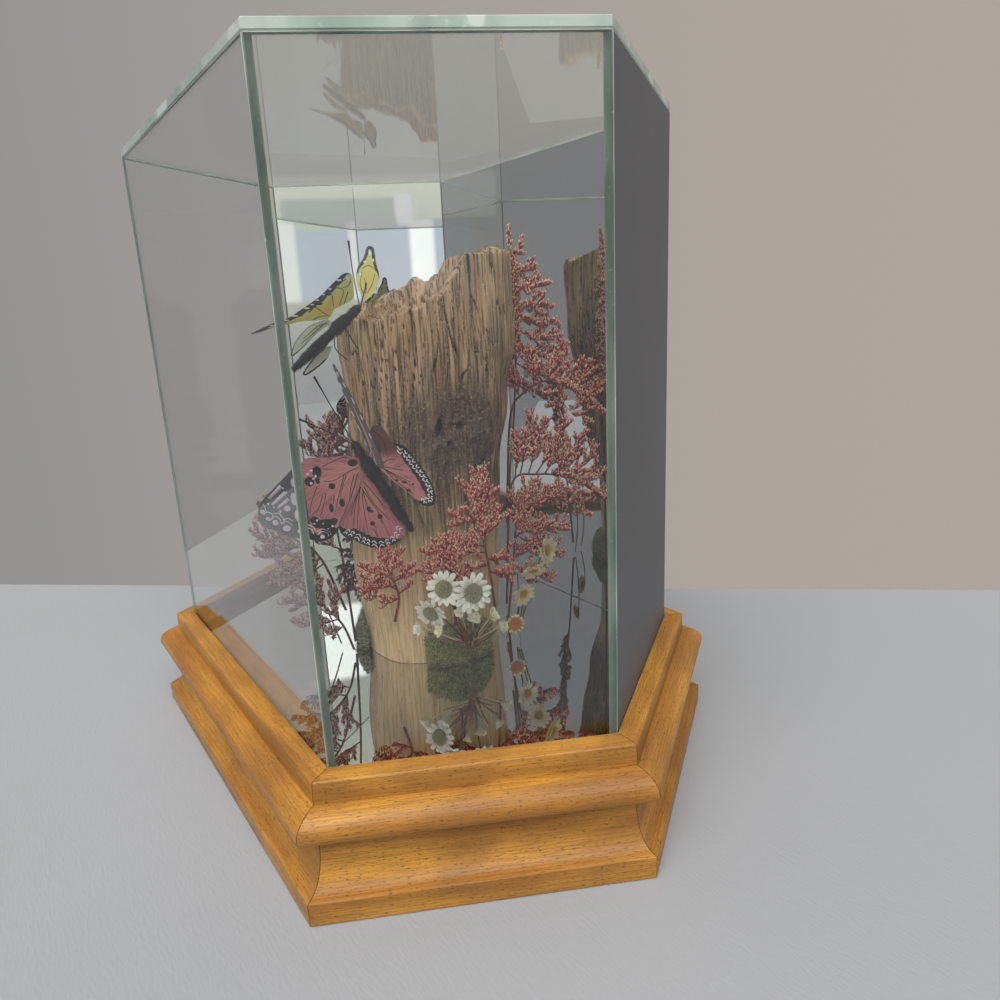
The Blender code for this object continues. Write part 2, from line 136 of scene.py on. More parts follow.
# %% New finishes
def new_finish(name, **sockets):
    """A material and the bench its nodes are laid on. Sockets are given with _ for the spaces."""
    material = bpy.data.materials.new(name)
    material.use_nodes = True
    shader = material.node_tree.nodes["Principled BSDF"]
    for socket, value in sockets.items():
        shader.inputs[socket.replace("_", " ")].default_value = value
    return material, Ink(material.node_tree)


def plain_paint(name, tone, roughness=0.6):
    paint, _ = new_finish(name, Base_Color=tone, Roughness=roughness)
    return paint


def feed(material, socket, ink):
    """Links a varying value to a socket of the material's shader."""
    shader = material.node_tree.nodes["Principled BSDF"]
    material.node_tree.links.new(ink.socket, shader.inputs[socket])


def feed_bump(material, height, depth, strength=1.0):
    """Raises the surface where height is 1, by depth in metres, for the light alone."""
    sockets = {"Height": height, "Distance": depth, "Strength": strength}
    feed(material, "Normal", height.node("ShaderNodeBump", {}, sockets))


def object_place(bench):
    return bench.node("ShaderNodeTexCoord", output=3)


def attribute(bench, name):
    """A number that the mesh carries at its points."""
    return bench.node("ShaderNodeAttribute", {"attribute_name": name}, output=2)


print("materials before the first finish:", len(bpy.data.materials))

# %% [markdown]
# A finished piece stands for one or more solids of the frame. It rides on the case's only body, and the
# solid that it stands for is hidden.


# %% New pieces
MM = 0.001
SHARP_DEGREES = 35


def add_piece(name, mesh, materials, slot, *stands_for):
    for material in materials:
        mesh.materials.append(material)
    piece = bpy.data.objects.new(name, mesh)
    bpy.context.collection.objects.link(piece)
    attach(piece, "root")
    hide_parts(*stands_for)
    return piece


def to_mesh(work, name, sharp_degrees=SHARP_DEGREES):
    """Ends a bmesh: a mesh with smooth shading that keeps its sharper edges."""
    mesh = bpy.data.meshes.new(name)
    work.to_mesh(mesh)
    work.free()
    mesh.shade_smooth()
    mesh.set_sharp_from_angle(angle=math.radians(sharp_degrees))
    return mesh


def new_points(grown):
    return [item for item in grown["geom"] if isinstance(item, bmesh.types.BMVert)]


def new_edges(grown):
    return [item for item in grown["geom"] if isinstance(item, bmesh.types.BMEdge)]


print("edges of", SHARP_DEGREES, "degrees and more stay sharp")

# %% [markdown]
# The case's plan is a hexagon with 120 degrees at every corner and two sides longer than the other four.
# Its corners, moved out by any distance, place the rails, the panes, the lid and the floor, so they come
# first.

# %% The case's plan
WIDE_PANE = 0.195
NARROW_PANE = 0.117
GAP = 0.0003
MITRE_GAP = 0.0002
HALF_CORNER = math.radians(30)
HALF_DEPTH = NARROW_PANE * math.cos(HALF_CORNER)
SIDES = ("front", "front_right", "rear_right", "rear", "rear_left", "front_left")

lid_low, lid_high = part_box("glass_lid")
GLASS = lid_high.z - lid_low.z
CASE_TOP = lid_high.z
FLOOR_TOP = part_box("floor_mirror")[1].z
LEDGE_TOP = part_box("base_rail_front")[1].z
PANE_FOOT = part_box("glass_pane_front")[0].z
PANE_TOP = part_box("glass_pane_front")[1].z


def case_corner(number, outset):
    """A corner of the plan, from the front left anticlockwise, outset from the glass's outer face."""
    half_wide = WIDE_PANE / 2 + outset * math.tan(HALF_CORNER)
    half_deep = HALF_DEPTH + outset
    tip = WIDE_PANE / 2 + NARROW_PANE / 2 + outset / math.cos(HALF_CORNER)
    corners = (
        Vector((-half_wide, -half_deep)), Vector((half_wide, -half_deep)), Vector((tip, 0)),
        Vector((half_wide, half_deep)), Vector((-half_wide, half_deep)), Vector((-tip, 0)),
    )
    return corners[number % len(corners)]


def side_directions(number):
    """Along a side, and out of the case across it."""
    along = (case_corner(number + 1, 0) - case_corner(number, 0)).normalized()
    return along.to_3d(), Vector((along.y, -along.x, 0))


print("the case is", round(lid_high.x - lid_low.x, 3), "m long in glass")

# %% [markdown]
# The camera stands close to the case, a little above its middle, and looks down on one of the narrow clear
# panes. It is placed by where it stands and by three angles, which is how one would describe holding it.

# %% Camera
CAMERA_PLACE = (0.32987, -0.18693, 0.22787)
CAMERA_TURN = math.radians(53.685)
CAMERA_PITCH = math.radians(-13.534)
CAMERA_ROLL = math.radians(-2.893)


def build_camera():
    forward = Vector((
        -math.sin(CAMERA_TURN) * math.cos(CAMERA_PITCH),
        math.cos(CAMERA_TURN) * math.cos(CAMERA_PITCH),
        math.sin(CAMERA_PITCH),
    ))
    level = Vector((math.cos(CAMERA_TURN), math.sin(CAMERA_TURN), 0))
    right = Matrix.Rotation(-CAMERA_ROLL, 3, forward) @ level
    up = right.cross(forward)
    lens = bpy.data.cameras.new("camera")
    lens.sensor_width = 36
    lens.lens = 24.92
    lens.shift_x = 0.0118
    lens.shift_y = -0.0247
    lens.clip_start = 0.01
    camera = bpy.data.objects.new("camera", lens)
    bpy.context.collection.objects.link(camera)
    turn = Matrix((right, up, -forward)).transposed().to_4x4()
    camera.matrix_world = Matrix.Translation(CAMERA_PLACE) @ turn
    bpy.context.scene.camera = camera


build_camera()
print("the camera stands", round(Vector(CAMERA_PLACE).length, 2), "m from the middle of the base")

# %% [markdown]
# Glass and mirrors show what surrounds them, so the studio matters more than usual. The case stands at the
# back of a plain pale table. Round it is an even warm grey, darker on the side that the rear mirror looks
# at and on the right, where the rails are in shade. A broad soft box hangs high in front and a weaker one
# high at the back left. They are painted into the world and not hung as lamps, because light reaches things
# behind glass only along paths that meet it by chance, and those paths are far less grainy when the light
# is large. A low window is drawn pane by pane, since the left mirror shows it.

# %% Studio
# Azimuth and elevation of a soft box's middle, its half width and half height, all in degrees, then its
# strength
SOFT_BOXES = (
    (-44, 60, 52, 22, 5.4),
    (-130, 64, 30, 18, 0.8),
)
# The parts of the window: first and last azimuth, lowest and highest elevation, and colour
WINDOW = (
    (-41, -24, 1.2, 7, (186, 191, 200)),
    (-42, -22, 7, 10.2, (236, 238, 220)),
    (-38.4, -29.9, 6.4, 8.6, (190, 196, 186)),
    (-38.9, -37.6, 1.2, 7, (226, 228, 224)),
    (-33.6, -33.0, 1.2, 7, (226, 228, 226)),
    (-28.9, -27.0, 1.6, 7, (255, 255, 255)),
    (-29.8, -28.6, 6.6, 8.8, (255, 255, 255)),
    (-40.4, -35.4, 23, 28.6, (300, 300, 294)),
)
WINDOW_STRENGTH = 1.15
WINDOW_BLUR = 0.25
DARK_SIDE = -137
VIEWER_SIDE = -36
SHADED_SIDE = 40
RIGHT_SIDE = 100


def build_world():
    world = bpy.data.worlds.new("studio")
    bpy.context.scene.world = world
    world.use_nodes = True
    bench = Ink(world.node_tree)
    direction = bench.node("ShaderNodeTexCoord")
    x, y, z = (direction.node("ShaderNodeSeparateXYZ", {}, {0: direction}, axis) for axis in range(3))
    turn = bench.math("ARCTAN2", y, x) * math.degrees(1)
    climb = bench.math("ARCSINE", z) * math.degrees(1)
    light = 0.0
    for azimuth, elevation, half_width, half_height, strength in SOFT_BOXES:
        aside = abs(bench.math("WRAP", turn - azimuth, 180, -180))
        inside = 1 - rise(aside, half_width * 0.8, half_width * 1.2)
        inside = inside * (1 - rise(abs(climb - elevation), half_height * 0.8, half_height * 1.2))
        light = inside * strength + light
    away = abs(bench.math("WRAP", turn - DARK_SIDE, 180, -180))
    wall = mix(rise(away, 10, 70), colour(128, 128, 133), colour(158, 154, 151))
    behind = abs(bench.math("WRAP", turn - VIEWER_SIDE, 180, -180))
    wall = mix(rise(behind, 50, 20), wall, colour(210, 210, 198))
    wall = mix(rise(behind, 80, 50) * rise(climb, 3, -6), wall, colour(180, 179, 182))
    shaded = abs(bench.math("WRAP", turn - SHADED_SIDE, 180, -180))
    wall = mix(rise(shaded, 50, 25), wall, colour(84, 82, 82))
    towards_right = abs(bench.math("WRAP", turn - RIGHT_SIDE, 180, -180))
    wall = mix(rise(towards_right, 70, 10), wall, colour(172, 164, 156))
    for first, last, low, high, tone in WINDOW:
        pane = rise(turn, first - WINDOW_BLUR, first + WINDOW_BLUR)
        pane = pane * rise(turn, last + WINDOW_BLUR, last - WINDOW_BLUR)
        pane = pane * rise(climb, low - WINDOW_BLUR, low + WINDOW_BLUR)
        pane = pane * rise(climb, high + WINDOW_BLUR, high - WINDOW_BLUR)
        lit = tuple(level * WINDOW_STRENGTH for level in tone)
        wall = mix(pane, wall, colour(*lit))
    boxes = mix(rise(light, 0, 1), (0, 0, 0, 1), colour(255, 253, 250))
    background = world.node_tree.nodes["Background"]
    glow = bench.node("ShaderNodeVectorMath", {"operation": "SCALE"}, {0: boxes, "Scale": light})
    total = bench.node("ShaderNodeVectorMath", {"operation": "ADD"}, {0: wall, 1: glow})
    world.node_tree.links.new(total.socket, background.inputs["Color"])


build_world()
print("the world has", len(SOFT_BOXES), "soft boxes and a window of", len(WINDOW), "parts")

# %% [markdown]
# The table is one painted board with a faint weave in its paint. It is turned as the photograph shows its
# back edge, and it belongs to the studio, so it isn't a piece of the part.

# %% Table
ARRANGEMENT_TURN = math.radians(53.7)
TABLE_EDGE_TURN = math.radians(-8.2)
TABLE_BACK = 0.172
TABLE_FRONT = 1.3
TABLE_HALF_WIDTH = 1.2


def build_table():
    work = bmesh.new()
    bmesh.ops.create_grid(work, x_segments=1, y_segments=1, size=1)
    for vertex in work.verts:
        vertex.co.x *= TABLE_HALF_WIDTH
        vertex.co.y = TABLE_BACK if vertex.co.y > 0 else -TABLE_FRONT
    turn = Matrix.Rotation(ARRANGEMENT_TURN + TABLE_EDGE_TURN, 3, "Z")
    bmesh.ops.rotate(work, verts=work.verts, matrix=turn)
    mesh = bpy.data.meshes.new("table")
    work.to_mesh(mesh)
    work.free()
    paint, bench = new_finish("table_paint", Roughness=0.75)
    place = object_place(bench)
    cloud = speckle(place, 5, 3)
    feed(paint, "Base Color", mix(cloud, colour(150, 153, 159), colour(157, 159, 163)))
    feed_bump(paint, speckle(place, 260, 3, (1, 3, 1)), 0.0004, 0.5)
    mesh.materials.append(paint)
    table = bpy.data.objects.new("table", mesh)
    bpy.context.collection.objects.link(table)


build_table()
bpy.context.scene.view_settings.view_transform = "Standard"
print("the table reaches", TABLE_BACK, "m behind the middle of the case")

# %% [markdown]
# The base is six lengths of moulding, mitred at the corners. A joiner would run one long moulding and saw
# it, and a Blender user might sweep a curve. Here the section is drawn at one mitre and extruded along the
# side to the other, each point by its own distance, which cuts both mitres at once. Each point remembers
# how far round the section it lies, and that and the distance along the rail become the UV map that the
# grain runs in.

# %% Moulding section
LEDGE = 0.009
LIP = 0.0194
STEP_FOOT = 0.047
LIP_MIDDLE = 0.0396
LIP_UNDER = 0.0356
LIP_INNER = 0.0162
RECESS_FOOT = 0.027
PLINTH = 0.0182
PLINTH_TOP = 0.0102
EASED = 0.001


def arc(centre, reach_out, reach_up, first_degrees, last_degrees, steps):
    """Points of (outset, height) along part of an ellipse."""
    points = []
    for step in range(steps + 1):
        angle = math.radians(first_degrees + (last_degrees - first_degrees) * step / steps)
        points.append((centre[0] + reach_out * math.cos(angle), centre[1] + reach_up * math.sin(angle)))
    return points


def moulding_section():
    """Plinth, cove, recess, rounded lip, round-over, step and ledge."""
    plinth = [(GAP, 0)] + arc((PLINTH - EASED, EASED), EASED, EASED, 270, 360, 4) + [(PLINTH, PLINTH_TOP)]
    cove_centre = (PLINTH - EASED, RECESS_FOOT)
    cove = arc(cove_centre, PLINTH - EASED - LEDGE, RECESS_FOOT - PLINTH_TOP - EASED / 2, 270, 180, 16)
    under_lip = arc((LEDGE + EASED, LIP_UNDER - EASED), EASED, EASED, 180, 90, 4)
    lip = arc((LIP_INNER, LIP_MIDDLE), LIP - LIP_INNER, LIP_MIDDLE - LIP_UNDER, -90, 0, 8)
    round_over = arc((LEDGE, LIP_MIDDLE), LIP - LEDGE, STEP_FOOT - LIP_MIDDLE, 8, 88, 12)
    ledge = arc((LEDGE - EASED, LEDGE_TOP - EASED), EASED, EASED, 0, 90, 4) + [(GAP, LEDGE_TOP)]
    return plinth + cove + under_lip + lip + round_over + ledge


print("the moulding's section has", len(moulding_section()), "points")

# %% [markdown]
# A section becomes a length by one extrusion. The points at the far end then move on by the distance
# between the two mitres at their own outset, so a point far out travels further than one near the glass.


# %% Mitred lengths
def mitred_length(number, section):
    """A bmesh of a section of (outset, height) points run along one side, with mitred ends."""
    work = bmesh.new()
    around = work.verts.layers.float.new("around")
    along, outward = side_directions(number)
    start = []
    travelled = 0.0
    for index, (outset, height) in enumerate(section):
        if index:
            travelled += math.dist(section[index - 1], section[index])
        vertex = work.verts.new((*case_corner(number, outset), height))
        vertex.co += along * MITRE_GAP
        vertex[around] = travelled
        start.append(vertex)
    first = work.faces.new(start)
    grown = bmesh.ops.extrude_face_region(work, geom=[first], use_keep_orig=True)
    for vertex in new_points(grown):
        outset = (vertex.co - case_corner(number, 0).to_3d()).dot(outward)
        reach = (case_corner(number + 1, outset) - case_corner(number, outset)).length
        vertex.co += along * (reach - 2 * MITRE_GAP)
    bmesh.ops.recalc_face_normals(work, faces=work.faces)
    return work


def rail_uv(work, number):
    """Lays the grain: along the rail, and around its section, both in metres."""
    along, _ = side_directions(number)
    around = work.verts.layers.float["around"]
    chart = work.loops.layers.uv.new("grain")
    for face in work.faces:
        for corner in face.loops:
            corner[chart].uv = (corner.vert.co.dot(along) + number, corner.vert[around])


SIDE_ZERO = (case_corner(1, 0) - case_corner(0, 0)).length
print("the side of number 0 is", round(SIDE_ZERO / MM, 1), "mm long at the glass")

# %% [markdown]
# The wood is honey-coloured and varnished, with broad soft streaks, fine fibres and short dark flecks that
# all run along the moulding. Each is noise stretched along the grain by a different amount.


# %% Honey wood
FIBRES = (46, 1500, 1)
FLECKS = (420, 2000, 1)


def honey_wood():
    wood, bench = new_finish("honey_wood", Roughness=0.5, Specular_IOR_Level=0.35)
    chart = bench.node("ShaderNodeUVMap", {"uv_map": "grain"})
    streaks = speckle(chart, 1, 3, (7, 90, 1))
    fibres = speckle(chart, 1, 3, FIBRES)
    flecks = rise(speckle(chart, 1, 2, FLECKS), 0.59, 0.67)
    patches = speckle(chart, 1, 2, (22, 40, 1))
    tone = mix(rise(streaks, 0.35, 0.65), colour(194, 140, 60), colour(160, 109, 46))
    tone = mix(rise(patches, 0.4, 0.65) * 0.6, tone, colour(136, 92, 50))
    tone = mix(rise(fibres, 0.42, 0.62) * 0.4, tone, colour(116, 76, 38))
    tone = mix(flecks * 0.7, tone, colour(78, 48, 26))
    feed(wood, "Base Color", tone)
    feed(wood, "Roughness", 0.34 + streaks * 0.2)
    feed_bump(wood, 1 - flecks * 0.6 - fibres * 0.4, 0.2 * MM, 0.35)
    return wood


print("a fibre is", round(FIBRES[1] / FIBRES[0]), "times longer than it is wide")
print("a fleck is", round(FLECKS[1] / FLECKS[0]), "times longer than it is wide")

# %% [markdown]
# Each rail is built, given its grain and finished. The two boards under the glass are hardly seen, so they
# keep the solids that they have and get a plain sawn finish.


# %% Base
def build_rails():
    wood = honey_wood()
    for number, place in enumerate(SIDES):
        work = mitred_length(number, moulding_section())
        rail_uv(work, number)
        add_piece(f"rail_{place}", to_mesh(work, place), [wood], "honey_wood", f"base_rail_{place}")


def dress_boards():
    """The two boards keep their solids and get a plain sawn finish."""
    board, bench = new_finish("board_wood", Roughness=0.8)
    place = object_place(bench)
    streaks = speckle(place, 1, 3, (14, 260, 60))
    feed(board, "Base Color", mix(streaks, colour(160, 126, 90), colour(130, 98, 66)))
    feed_bump(board, streaks, 0.0003, 0.4)
    for name in ("base_foot_board", "base_floor_board"):
        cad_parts[name].material_slots[0].material = board


build_rails()
dress_boards()
print("the base has", len(SIDES), "rails")

# %% [markdown]
# The panes are plates of ordinary float glass. Their faces are clear, by plain transmission, and their
# ground edges look green, because one sees a long way through the glass there. The rear panes are mirrors:
# silver towards the arrangement and slate-grey paint towards the room. Each plate is one closed mesh, and
# the direction that a face points in decides its finish.


# %% Glass finishes
def clear_glass():
    settings = {"Roughness": 0.0, "IOR": 1.5, "Transmission_Weight": 1.0}
    return new_finish("clear_glass", Base_Color=colour(252, 254, 252), **settings)[0]


def green_edge():
    edge, bench = new_finish("green_edge", Roughness=0.3, Coat_Weight=0.4, Coat_Roughness=0.1)
    place = object_place(bench)
    cloud = speckle(place, 1, 3, (60, 60, 14))
    chips = rise(speckle(place, 420, 1), 0.66, 0.74)
    tone = mix(rise(cloud, 0.35, 0.65), colour(116, 138, 128), colour(172, 188, 178))
    tone = mix(chips * 0.5, tone, colour(196, 208, 200))
    height = place.node("ShaderNodeSeparateXYZ", {}, {0: place}, 2)
    # Painted reflection: the lid's edge is lightened all round, and most of all in soft blobs.
    reflection_blobs = rise(speckle(place, 55, 1), 0.56, 0.6) * 0.7 + 0.3
    painted_reflection_on_lid = rise(height, PANE_TOP, PANE_TOP + 1 * MM) * reflection_blobs
    feed(edge, "Base Color", mix(painted_reflection_on_lid, tone, colour(206, 216, 209)))
    return edge


def silvering():
    tone = colour(220, 222, 222)
    return new_finish("silvering", Base_Color=tone, Metallic=1.0, Roughness=0.0)[0]


def slate_paint():
    slate, bench = new_finish("slate_paint", Roughness=0.5)
    cloud = speckle(object_place(bench), 9, 3)
    feed(slate, "Base Color", mix(cloud, colour(82, 85, 92), colour(97, 99, 104)))
    return slate


print("the panes end and the lid begins", round(PANE_TOP / MM, 1), "mm above the table")

# %% [markdown]
# Every plate has its sharp edges taken off by a third of a millimetre, as a glazier does with a stone, so
# that they catch the light. The mitred length that made the rails makes the panes too, from a section of
# four points.


# %% Plates
ARRIS = 0.00035


def choose_faces(work, outward, inner, outer, edge):
    """Gives each face the number of its material, by how far it faces outward."""
    for face in work.faces:
        turn = face.normal.dot(outward)
        face.material_index = outer if turn > 0.99 else inner if turn < -0.99 else edge


def ease_edges(work):
    bmesh.ops.bevel(
        work, geom=work.edges[:], offset=ARRIS, segments=1, profile=0.5, affect="EDGES", material=-1
    )


def build_panes():
    clear, edge, silver, slate = clear_glass(), green_edge(), silvering(), slate_paint()
    section = [(-GLASS, PANE_FOOT), (0, PANE_FOOT), (0, PANE_TOP), (-GLASS, PANE_TOP)]
    for number, place in enumerate(SIDES):
        work = mitred_length(number, section)
        ease_edges(work)
        _, outward = side_directions(number)
        if place.startswith("rear"):
            choose_faces(work, outward, 0, 1, 2)
            mesh = to_mesh(work, place, 20)
            add_piece(f"mirror_{place}", mesh, [silver, slate, edge], "mirror", f"mirror_pane_{place}")
        else:
            choose_faces(work, outward, 0, 0, 1)
            mesh = to_mesh(work, place, 20)
            add_piece(f"pane_{place}", mesh, [clear, edge], "clear_glass", f"glass_pane_{place}")
    build_plate("lid", 0, lid_low.z, CASE_TOP, [clear, edge], (0, 0, 1), "clear_glass", "glass_lid")
    floor_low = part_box("floor_mirror")[0].z
    floor_inset = -GLASS - GAP
    finishes = [silver, slate, edge]
    numbers = (1, 0, 2)
    build_plate(
        "mirror_floor", floor_inset, floor_low, FLOOR_TOP, finishes, numbers, "mirror", "floor_mirror"
    )


def build_plate(name, outset, bottom, top, materials, numbers, slot, node):
    """A level hexagonal plate. The numbers are the materials of its underside, top and edge."""
    work = bmesh.new()
    low = [work.verts.new((*case_corner(number, outset), bottom)) for number in range(len(SIDES))]
    first = work.faces.new(low)
    grown = bmesh.ops.extrude_face_region(work, geom=[first], use_keep_orig=True)
    bmesh.ops.translate(work, verts=new_points(grown), vec=(0, 0, top - bottom))
    bmesh.ops.recalc_face_normals(work, faces=work.faces)
    ease_edges(work)
    choose_faces(work, Vector((0, 0, 1)), *numbers)
    add_piece(name, to_mesh(work, name, 20), materials, slot, node)


build_panes()
print("the glass is", round(GLASS / MM, 1), "mm thick")

# %% [markdown]
# The arrangement faces the narrow pane at the front right, so its places are given as one sees them from
# there: millimetres right of, in front of and above the middle of the mirror floor.

# %% Places in the arrangement
ACROSS = Vector((math.cos(ARRANGEMENT_TURN), math.sin(ARRANGEMENT_TURN), 0))
TOWARDS = Vector((math.sin(ARRANGEMENT_TURN), -math.cos(ARRANGEMENT_TURN), 0))


def spot(right, ahead, up):
    return (ACROSS * right + TOWARDS * ahead) * MM + Vector((0, 0, FLOOR_TOP + up * MM))


def between(table, at):
    """Reads a table of rows (position, value, ...) at a position, easing from row to row."""
    for low, high in zip(table, table[1:]):
        if at <= high[0]:
            break
    share = min(max((at - low[0]) / (high[0] - low[0]), 0), 1)
    share = share * share * (3 - 2 * share)
    return [a + (b - a) * share for a, b in zip(low[1:], high[1:])]


print("the middle of the floor is at", [round(value, 3) for value in spot(0, 0, 0)])

# %% [markdown]
# The stump is one piece of weathered wood, hollow at the top. A sculptor would pull it out of a cylinder,
# and so does this code: a flat grid is wrapped round into a tube that goes up the outside, over the broken
# rim, down inside and across the floor of the hollow. Then each point is pushed in or out by the wood's
# grain, its cracks and its knot. The columns stand closer together on the side that is seen from the front.

# %% Stump form
# Height, middle to the right, middle ahead, half its width, half its depth, in millimetres
STUMP_STATIONS = (
    (0, 9, 8, 36, 35),
    (50, 7.5, 7, 39.5, 36),
    (95, 9.5, 2, 40.5, 41),
    (137, 14, -1, 43, 44),
    (166, 15, -3, 47, 46),
    (212, 15, -4, 46.5, 46),
)
# Height of the broken rim by the angle round from the right, turning towards the viewer
STUMP_RIM = (
    (0, 207), (28, 208), (56, 205), (66, 197), (77, 187), (90, 182), (120, 178), (150, 177), (180, 179),
    (215, 184), (245, 193), (270, 200), (300, 209), (330, 211), (360, 207),
)
STUMP_COLUMNS = 330
STUMP_ROWS = 206
SIDE_SHARE = 0.78
RIM_SHARE = 0.83
WALL_SHARE = 0.95
STUMP_WALL = 9
STUMP_HOLLOW = 21
STUMP_WELL = 164
FRONT_DENSITY = 28
# The knot's middle and reach, each as an angle round the stump and a height
KNOT = (62, 122)
KNOT_REACH = (27, 25)
# Angle, height, half width and half height in millimetres, and depth of the holes in the knot
KNOT_HOLES = ((77.4, 125, 1.5, 4.2, 6), (63.4, 125.5, 1.4, 1.6, 5), (70, 117, 1.1, 1.2, 2.5))


def rim_height(degrees):
    """Jagged at the back, where the wood broke, and smoother at the front."""
    (height,) = between(STUMP_RIM, degrees % 360)
    back = max(0.0, -math.sin(math.radians(degrees)))
    jag = 2.2 * math.sin(math.radians(degrees * 9)) + 1.6 * math.sin(math.radians(degrees * 14 + 40))
    return height + jag * (0.3 + 0.7 * back)


def stump_point(degrees, up, inset=0.0, closing=0.0):
    """A place on the stump's side, inset from it and then closing on the middle by a share."""
    middle_right, middle_ahead, half_wide, half_deep = between(STUMP_STATIONS, up)
    turn = math.radians(degrees)
    ridges = 1 + 0.018 * math.sin(3 * turn + 0.6) + 0.012 * math.sin(7 * turn + 0.02 * up)
    burl = 2.5 * math.exp(-(((degrees - 55) / 24) ** 2) - ((up - 122) / 24) ** 2)
    out_right = (half_wide * ridges + burl - inset) * (1 - closing)
    out_ahead = (half_deep * ridges + burl - inset) * (1 - closing)
    return middle_right + out_right * math.cos(turn), middle_ahead + out_ahead * math.sin(turn), up


RIM_HEIGHTS = [row[1] for row in STUMP_RIM]
print("the stump's rim is between", min(RIM_HEIGHTS), "and", max(RIM_HEIGHTS), "mm")

# %% [markdown]
# The relief is layers of noise stretched along the grain: fine fibres, broader ridges and a few long cracks
# where a slow noise crosses zero. They share one wandering offset, so that they bend together. Inside the
# knot the layers fade out, and lumps and holes take their place.


# %% Stump relief
GRAIN_RADIUS = 40
WANDER = 3.5
CRACK_WIDTH = 0.045


def knot_share(degrees, up):
    """1 in the middle of the knot and 0 outside it."""
    away = math.hypot((degrees - KNOT[0]) / KNOT_REACH[0], (up - KNOT[1]) / KNOT_REACH[1])
    return min(max((1.15 - away) / 0.5, 0), 1)


def wood_relief(degrees, up):
    """How far the wood stands out, in millimetres, and how much painted shade its cracks and knot holes get,
    from 0 to 1.
    """
    turn = math.radians(degrees)
    east, north = GRAIN_RADIUS * math.cos(turn), GRAIN_RADIUS * math.sin(turn)
    wander = WANDER * noise.noise(Vector((east * 0.03, north * 0.03, up * 0.02)))
    knot = knot_share(degrees, up)
    high = min(max((up - 55) / 60, 0), 1)
    fibre = noise.noise(Vector((east * 1.1 + wander, north * 1.1, up * 0.045)))
    ridge = noise.noise(Vector((east * 0.33 + wander, north * 0.33, up * 0.018)))
    line = noise.noise(Vector((east * 0.24 + wander + 40, north * 0.24, up * 0.012)))
    crack = max(0.0, 1 - abs(line) / CRACK_WIDTH) * (0.35 + 0.65 * high)
    lump = noise.noise(Vector((east * 0.22, north * 0.22 + 9, up * 0.22)))
    pit = noise.noise(Vector((east * 0.8, north * 0.8 + 5, up * 0.8)))
    grain = 0.45 * fibre + (0.4 + 0.8 * high) * ridge - 1.5 * crack
    gnarl = 2.2 * lump + 1.1 * pit
    relief = grain * (1 - knot) + gnarl * knot
    painted_shade = crack * (1 - knot)
    for hole_degrees, hole_up, half_width, half_height, depth in KNOT_HOLES:
        aside = math.radians(degrees - hole_degrees) * GRAIN_RADIUS
        away = math.hypot(aside / half_width, (up - hole_up) / half_height)
        hole = min(max((1.5 - away) / 0.8, 0), 1)
        relief -= depth * hole
        painted_shade = max(painted_shade, hole)
    return relief, painted_shade


print("the middle of the knot stands", round(wood_relief(*KNOT)[0], 2), "mm out of the wood")

# %% [markdown]
# The flat grid is wrapped in four bands: the side, the broken rim, the wall of the hollow and its floor.
# Each point keeps how deep in a crack or in the hollow it lies, and the finish paints shade there.


# %% Stump mesh
def wrap_point(share_round, share_up):
    """Where a point of the flat grid goes on the stump, and how much painted shade a crack or the hollow
    gives it.
    """
    turn = 2 * math.pi * share_round
    degrees = 360 * share_round + FRONT_DENSITY * (math.cos(turn) - 1)
    rim = rim_height(degrees)
    if share_up <= SIDE_SHARE:
        foot = GAP / MM
        up = foot + (rim - foot) * share_up / SIDE_SHARE
        relief, painted_shade = wood_relief(degrees, up)
        calm = min(up / 3, 1)
        return spot(*stump_point(degrees, up, -relief * calm)), painted_shade
    if share_up <= RIM_SHARE:
        across = (share_up - SIDE_SHARE) / (RIM_SHARE - SIDE_SHARE)
        relief, painted_shade = wood_relief(degrees, rim)
        broken = 2.0 * noise.noise(Vector((degrees * 0.35, across * 1.3, 3)))
        up = rim + math.sin(math.pi * across) * 0.8 + broken * math.sin(math.pi * min(across * 1.5, 1) / 2)
        return spot(*stump_point(degrees, up, STUMP_WALL * across - relief * (1 - across))), painted_shade
    if share_up <= WALL_SHARE:
        drop = (share_up - RIM_SHARE) / (WALL_SHARE - RIM_SHARE)
        inset = STUMP_WALL + (STUMP_HOLLOW - STUMP_WALL) * drop ** 1.5
        broken = 2.0 * noise.noise(Vector((degrees * 0.35, 1.3, 3))) * (1 - drop)
        up = rim + broken + drop * (STUMP_WELL - rim)
        relief, _ = wood_relief(degrees + 180, up * 1.3)
        return spot(*stump_point(degrees, up, inset + relief * drop)), 0.05 + 0.5 * drop
    closing = (share_up - WALL_SHARE) / (1 - WALL_SHARE)
    relief, _ = wood_relief(degrees + 180, STUMP_WELL * 1.3)
    place = stump_point(degrees, STUMP_WELL, STUMP_HOLLOW + relief * (1 - closing), closing)
    return spot(*place), 0.65


def build_stump_mesh():
    work = bmesh.new()
    bmesh.ops.create_grid(work, x_segments=STUMP_COLUMNS, y_segments=STUMP_ROWS, size=0.5)
    painted_shade = work.verts.layers.float.new("painted_shade")
    for vertex in work.verts:
        vertex.co, vertex[painted_shade] = wrap_point(vertex.co.x + 0.5, vertex.co.y + 0.5)
    bmesh.ops.remove_doubles(work, verts=work.verts, dist=0.01 * MM)
    bmesh.ops.holes_fill(work, edges=[edge for edge in work.edges if edge.is_boundary])
    bmesh.ops.recalc_face_normals(work, faces=work.faces)
    return to_mesh(work, "stump_wood", 60)


print("the stump's grid has", STUMP_COLUMNS, "columns and", STUMP_ROWS, "rows")

# %% [markdown]
# Weathered wood is grey where the sun reached it and brown where it didn't. The streaks follow the grain,
# which runs up the stump, the lower part is smooth and tan, the knot is dark grey, and shade is painted
# into every crack, into the knot's holes and into the hollow.


# %% Driftwood
KNOT_PLACE = spot(*stump_point(*KNOT))


